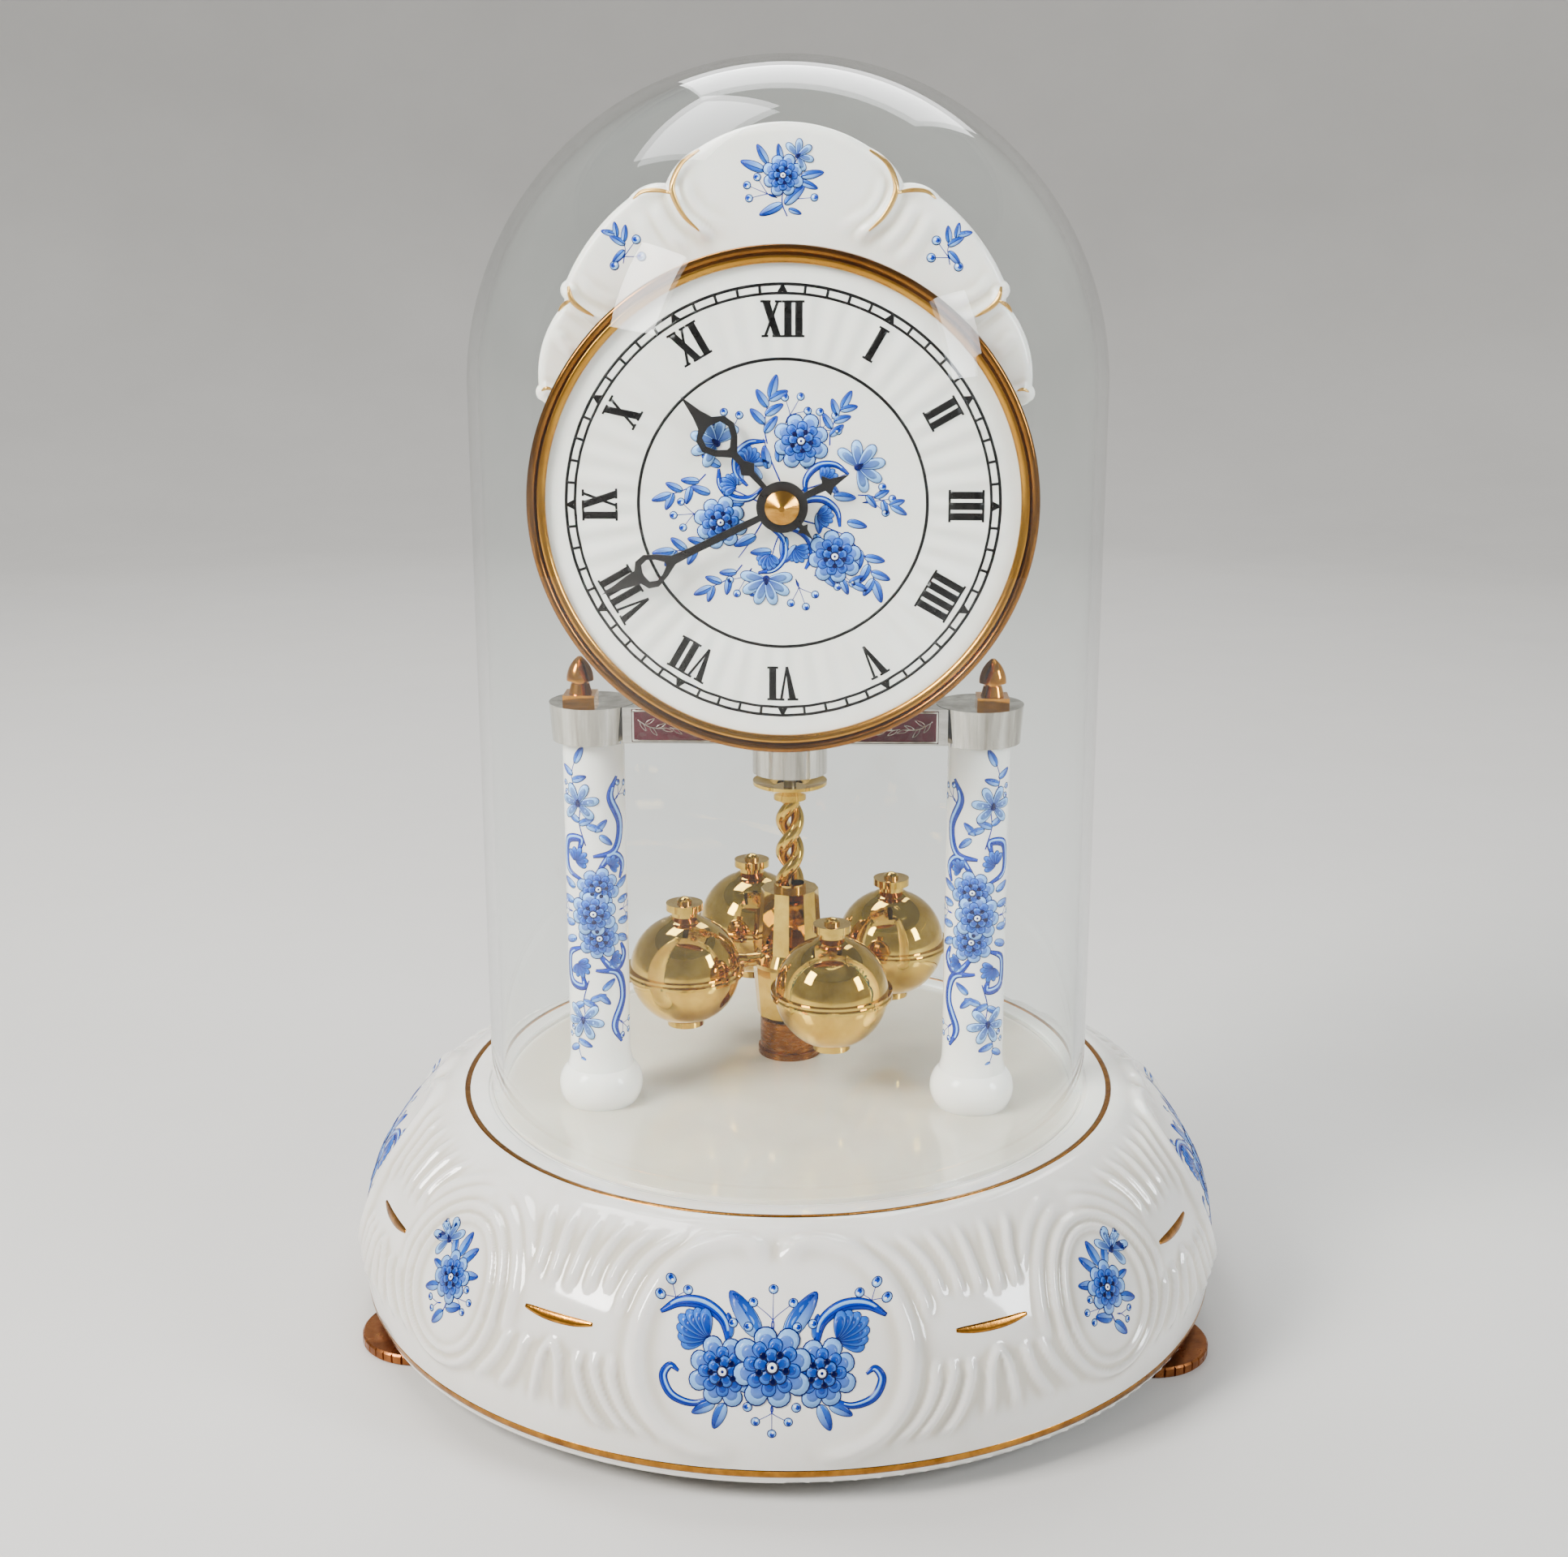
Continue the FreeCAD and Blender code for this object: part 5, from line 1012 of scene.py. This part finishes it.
def make_bezel(outer, inner):
    """Two turned bands with a dark groove between them, over the CAD ring's own section."""
    low, high = (np.array(c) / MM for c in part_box("bezel_ring"))
    rim, front, back = (high[0] - low[0]) / 2, -low[1], -high[1]
    bore = 48.6
    outside = ((0, 0.9), (0.12, 0.4), (0.5, 0.08), (0.9, 0.02), (1.3, 0.14), (1.62, 0.42), (1.7, 1.5),
               (0.8, 1.9))
    inside = ((1.92, 1.6), (1.92, 0.86), (2.1, 0.66), (2.7, 0.62))
    lip = ((0.5, 0.92), (0.1, 1.2), (0, 1.6))
    outer_band = [(rim, back)] + [(rim - r, front - y) for r, y in outside] + [(rim - 0.8, back)]
    inner_band = [(rim - r, front - y) for r, y in inside] + [(bore + r, front - y) for r, y in lip]
    for name, profile, look, old in (("bezel_outer_band", outer_band, outer, ["bezel_ring"]),
                                     ("bezel_inner_band", inner_band, inner, ())):
        points, faces = lathe(profile, 360)
        points = np.column_stack((points[:, 0], -points[:, 2], DIAL_Z + points[:, 1]))
        new_piece(name, points, faces, look, "bezel_brass", replaces=old)


def make_dome(look):
    """Blown dome with a fire-polished rim. The ring of points at its top becomes one point."""
    arc = np.radians(np.linspace(0, 90, 60))[1:-1]
    edge = DOME_WALL / 2
    inner, mid = DOME_R - DOME_WALL, DOME_R - edge
    outer = [(DOME_R, z) for z in np.linspace(DOME_FOOT + edge, DOME_MIDDLE, 26)]
    outer += [(DOME_R * math.cos(a), DOME_MIDDLE + DOME_R * math.sin(a)) for a in arc]
    apex = [(1e-6, DOME_MIDDLE + DOME_R), (1e-6, DOME_MIDDLE + inner)]
    inside = [(inner * math.cos(a), DOME_MIDDLE + inner * math.sin(a)) for a in arc[::-1]]
    inside += [(inner, z) for z in np.linspace(DOME_MIDDLE, DOME_FOOT + edge, 26)]
    round_rim = np.radians(np.linspace(180, 360, 13)[1:-1])
    rim = [(mid + edge * math.cos(a), DOME_FOOT + edge + edge * math.sin(a)) for a in round_rim]
    profile = outer + apex + inside + rim
    steps, top = 256, len(outer)
    points, faces = lathe(profile, steps)
    merged = {i * len(profile) + k: k for i in range(steps) for k in (top, top + 1)}
    kept = []
    for face in faces:
        ring = [merged.get(v, v) for v in face]
        ring = [v for n, v in enumerate(ring) if v != ring[n - 1]]
        if len(ring) > 2 and not {top, top + 1} <= set(ring):
            kept.append(ring)
    used = sorted({v for f in kept for v in f})
    renumber = {v: n for n, v in enumerate(used)}
    new_piece("dome_shell", points[used], [[renumber[v] for v in f] for f in kept], look,
              "dome_glass", "dome", replaces=["glass_dome"])


def glass_look():
    """Clear glass that lets lamp light through to what stands in it."""
    look = Look("clear_glass", (0.965, 0.985, 0.978, 1), (0.945, 0.97, 0.96, 1), rough=(0.0, 0.012),
                scale=25.0, bump=0.02, bump_scale=14.0, Transmission_Weight=1.0, IOR=1.3)
    tree = look.tree
    clear = tree.nodes.new("ShaderNodeBsdfTransparent")
    clear.inputs[0].default_value = (0.93, 0.945, 0.94, 1)
    path = tree.nodes.new("ShaderNodeLightPath")
    both = tree.nodes.new("ShaderNodeMixShader")
    tree.links.new(path.outputs["Is Shadow Ray"], both.inputs[0])
    tree.links.new(look.shader.outputs[0], both.inputs[1])
    tree.links.new(clear.outputs[0], both.inputs[2])
    tree.links.new(both.outputs[0], tree.nodes["Material Output"].inputs[0])
    return look.material


def painted_shade_top(look):
    """Glaze that is a little greyer on the flat top under the dome: painted shade for the dome's shadow and
    its glass.
    """
    around = look.add("ShaderNodeMapping", Vector=look.place, Scale=(1, 1, 0))
    radius = look.tree.nodes.new("ShaderNodeVectorMath")
    radius.operation = "LENGTH"
    look.tree.links.new(around.outputs[0], radius.inputs[0])
    share = look.ramp(radius.outputs["Value"], 0.066, 0.071, 1.0, 0.0)
    # the painted shade's colour under the dome
    grey = look.blend(1.0, look.colour, srgb("#c9c4b9"), "MULTIPLY")
    look.link(look.blend(share, look.colour, grey), "Base Color")
    return look.material


def recess_shade_look(look):
    """Glaze darkened by the mesh's own tint, which carries painted shade in the recesses."""
    look.link(look.blend(1.0, look.colour, look.tint(), "MULTIPLY"), "Base Color")
    return look.material


def painted(name, rough, **values):
    """Enamel whose colour is carried by the mesh and varied by a watery brush noise."""
    look = Look(name, (1, 1, 1, 1), (0.72, 0.78, 0.9, 1), rough=rough, scale=420.0, bump=0.05,
                bump_scale=1500.0, **values)
    tint = look.tint()
    look.link(look.blend(0.55, tint, look.blend(1.0, tint, look.colour, "MULTIPLY")), "Base Color")
    return look.material


def finish(name, light, dark, rough, scale, bump, fine, grain=(1, 1, 1), share=0.5, **values):
    """A finish between two hex colours. fine is the scale of its small dents."""
    return Look(name, srgb(light), srgb(dark), share, rough, scale, grain, bump, fine, **values).material


def metal(*values, **ways):
    return finish(*values, **ways, Metallic=1.0)


GLAZE = dict(rough=(0.06, 0.14), scale=60.0, bump=0.03, bump_scale=350.0, Coat_Weight=0.5,
             Coat_Roughness=0.04, Subsurface_Weight=0.08, Subsurface_Scale=0.002)
# the base top's glaze, with painted shade under the dome
TOP_GLAZE = painted_shade_top(Look("porcelain_top_painted_shade", srgb("#efece6"), srgb("#e4e0d8"), **GLAZE))
PORCELAIN = Look("porcelain_glaze", srgb("#efece6"), srgb("#e6e2da"), **GLAZE).material
# relief glaze with painted shade in its recesses
RELIEF_GLAZE = recess_shade_look(Look("porcelain_relief_painted_shade", srgb("#f1eee8"), srgb("#e8e4dc"), **GLAZE))
ENAMEL = painted("blue_enamel", (0.16, 0.3), Specular_IOR_Level=0.2, Coat_Weight=0.06, Coat_Roughness=0.05)
BLACK = painted("black_enamel", (0.22, 0.4), Specular_IOR_Level=0.2)
GOLD_LINE = metal("burnished_gold_line", "#b87e2e", "#6d4218", (0.12, 0.3), 260, 0.1, 1400, share=0.54)
CROWN_GOLD = metal("pale_gold_line", "#efc67c", "#cf9a4a", (0.3, 0.44), 260, 0.08, 1400)
BEZEL_GOLD = metal("lacquered_gold_brass", "#d39a3c", "#b07424", (0.12, 0.22), 60, 0.03, 2400)
FOOT_BRASS = metal("aged_copper_brass", "#a5683a", "#6e4022", (0.24, 0.42), 220, 0.1, 1500)
FINIAL_GOLD = metal("bright_finial_gold", "#eca53a", "#cb8024", (0.06, 0.16), 220, 0.03, 1500)
LOOKS = {
    "porcelain": PORCELAIN,
    "dome_glass": glass_look(),
    "gold": metal("polished_gold", "#e6c05a", "#c2972f", (0.02, 0.06), 160, 0.02, 700),
    "bezel_brass": metal("lacquered_brown_brass", "#a06a28", "#79491a", (0.1, 0.2), 60, 0.03, 2400),
    "brass": metal("turned_brass", "#dba048", "#a46a24", (0.1, 0.26), 240, 0.06, 1500, (1, 1, 4), 0.55),
    # nickel: the dark upright streaks in its colour are painted reflections
    "silver": metal("polished_nickel_painted_streaks", "#f0ebe2", "#8f8678", (0.04, 0.12), 150, 0.02, 900, (1.6, 1.6, 0.06)),
    "copper": metal("copper_lacquer", "#a0631f", "#6a3a10", (0.2, 0.36), 260, 0.08, 1500, (1, 1, 5)),
    "bridge_metal": metal("bridge_nickel", "#dcd8d2", "#c2bdb6", (0.08, 0.18), 200, 0.03, 1600, (0.4, 3, 3)),
    "inlay": finish("burgundy_enamel", "#4c0b1c", "#34060f", (0.2, 0.32), 220, 0.04, 900,
                    Specular_IOR_Level=0.25),
    "movement": finish("dark_brown_moulding", "#2a1c15", "#231610", (0.28, 0.36), 300, 0.04, 2200),
    "hand_black": finish("black_lacquer", "#1b1717", "#0f0c0c", (0.26, 0.42), 300, 0.06, 1800),
    "steel": metal("plain_steel", "#b9b7b2", "#8d8a85", (0.24, 0.4), 260, 0.08, 1500, (1, 1, 5)),
    "cell_jacket": finish("printed_jacket", "#3b4147", "#2b3035", (0.2, 0.34), 120, 0.03, 900, (1, 5, 5),
                          Metallic=0.6),
    "knob_plastic": finish("black_moulding", "#2a2a2b", "#1d1d1e", (0.4, 0.56), 400, 0.14, 2400),
}


# nodes with a look of their own, by the first word of their names
# the porcelain nodes' look carries painted shade on the top under the dome
SPECIAL_LOOKS = {"foot": FOOT_BRASS, "finial": FINIAL_GOLD, "porcelain": TOP_GLAZE}


def dress_nodes():
    """Every carried-over CAD node gets its slot's finish."""
    kinds = {}
    for row in frame["record"]["materials"]:
        for node in row.get("nodes", []):
            kinds[node] = row["slot"]
    for name, node in frame["nodes"].items():
        slot = kinds.get(name) or node.data.materials[0].name.split(".")[0]
        node.data.materials.clear()
        special = SPECIAL_LOOKS.get(name.split("_")[0])
        node.data.materials.append(special or LOOKS[slot])


def make_stage():
    """Pale floor that turns up into a low wall, three dark cloths for the reflections, four soft lamps."""
    bend = np.linspace(0.1, math.pi / 2, 16)
    profile = [(0.001, 0.0), (0.5, 0.0), (1.2, 0.0)]
    profile += [(1.2 + 0.8 * math.sin(a), 0.8 - 0.8 * math.cos(a)) for a in bend]
    profile += [(2.0, 1.6)]
    points, faces = lathe([(r / MM, z / MM) for r, z in profile], 96, closed=False)
    pale = stage_look("pale_floor", srgb("#d9d7d3"), srgb("#d2d0cc"))
    floor = new_piece("floor", points, faces, pale, body=None)
    for name, turn, reach, wide in (("cloth_front", 0, 1.12, 74), ("cloth_left", -82, 1.0, 26),
                                    ("cloth_right", 80, 1.0, 26)):
        angles = np.radians(turn - 90 + np.linspace(-wide / 2, wide / 2, 13))
        ring = np.column_stack((np.cos(angles), np.sin(angles)))
        flat = np.concatenate((ring * reach, ring[::-1] * (reach + 0.01)))
        count = len(flat)
        points = np.concatenate([np.column_stack((flat, np.full(count, z))) for z in (0.02, 0.78)]) / MM
        faces = [tuple(range(count)), tuple(count + k for k in reversed(range(count)))]
        faces += [(k, count + k, count + (k + 1) % count, (k + 1) % count) for k in range(count)]
        weave = stage_look(name + "_weave", srgb("#211d1c"), srgb("#181515"))
        cloth = new_piece(name, points, faces, weave, body=None, smooth=False)
        cloth.visible_camera = cloth.visible_transmission = cloth.visible_shadow = False
    lamp("key_window", (-0.78, -0.56, 0.8), (0, 0, 0.12), (0.34, 0.5), 26, (1.0, 0.98, 0.95))
    lamp("fill_window", (0.86, -0.42, 0.5), (0, 0, 0.12), (0.22, 0.42), 8, (0.9, 0.95, 1.0))
    lamp("top_soft", (-0.35, 0.35, 1.2), (0, 0, 0.1), (0.5, 0.4), 8)
    lamp("back_soft", (0.1, 0.95, 1.1), (0, 0, 0.15), (0.9, 0.5), 8)
    world = bpy.data.worlds.new("studio")
    bpy.context.scene.world = world
    world.use_nodes = True
    world.node_tree.nodes["Background"].inputs[0].default_value = (0.72, 0.75, 0.8, 1)
    world.node_tree.nodes["Background"].inputs[1].default_value = 0.27


make_camera()
make_stage()
dress_nodes()
make_base(RELIEF_GLAZE)
make_crown(RELIEF_GLAZE)
make_dial(PORCELAIN)
make_panel(LOOKS["inlay"], LOOKS["silver"])
make_bezel(LOOKS["bezel_brass"], BEZEL_GOLD)
make_dome(LOOKS["dome_glass"])
mark_dial(BLACK)
paint_wreath(ENAMEL)
paint_crown(ENAMEL)
for k in range(4):
    paint_cartouche(QUARTER * k, "spray_large_%d" % k, ENAMEL)
    paint_oval(QUARTER * (k + 0.5), "spray_small_%d" % k, ENAMEL, k in (1, 3))
paint_column(-1, "spray_column_left", ENAMEL)
paint_column(1, "spray_column_right", ENAMEL)
gold_lines(GOLD_LINE, CROWN_GOLD)
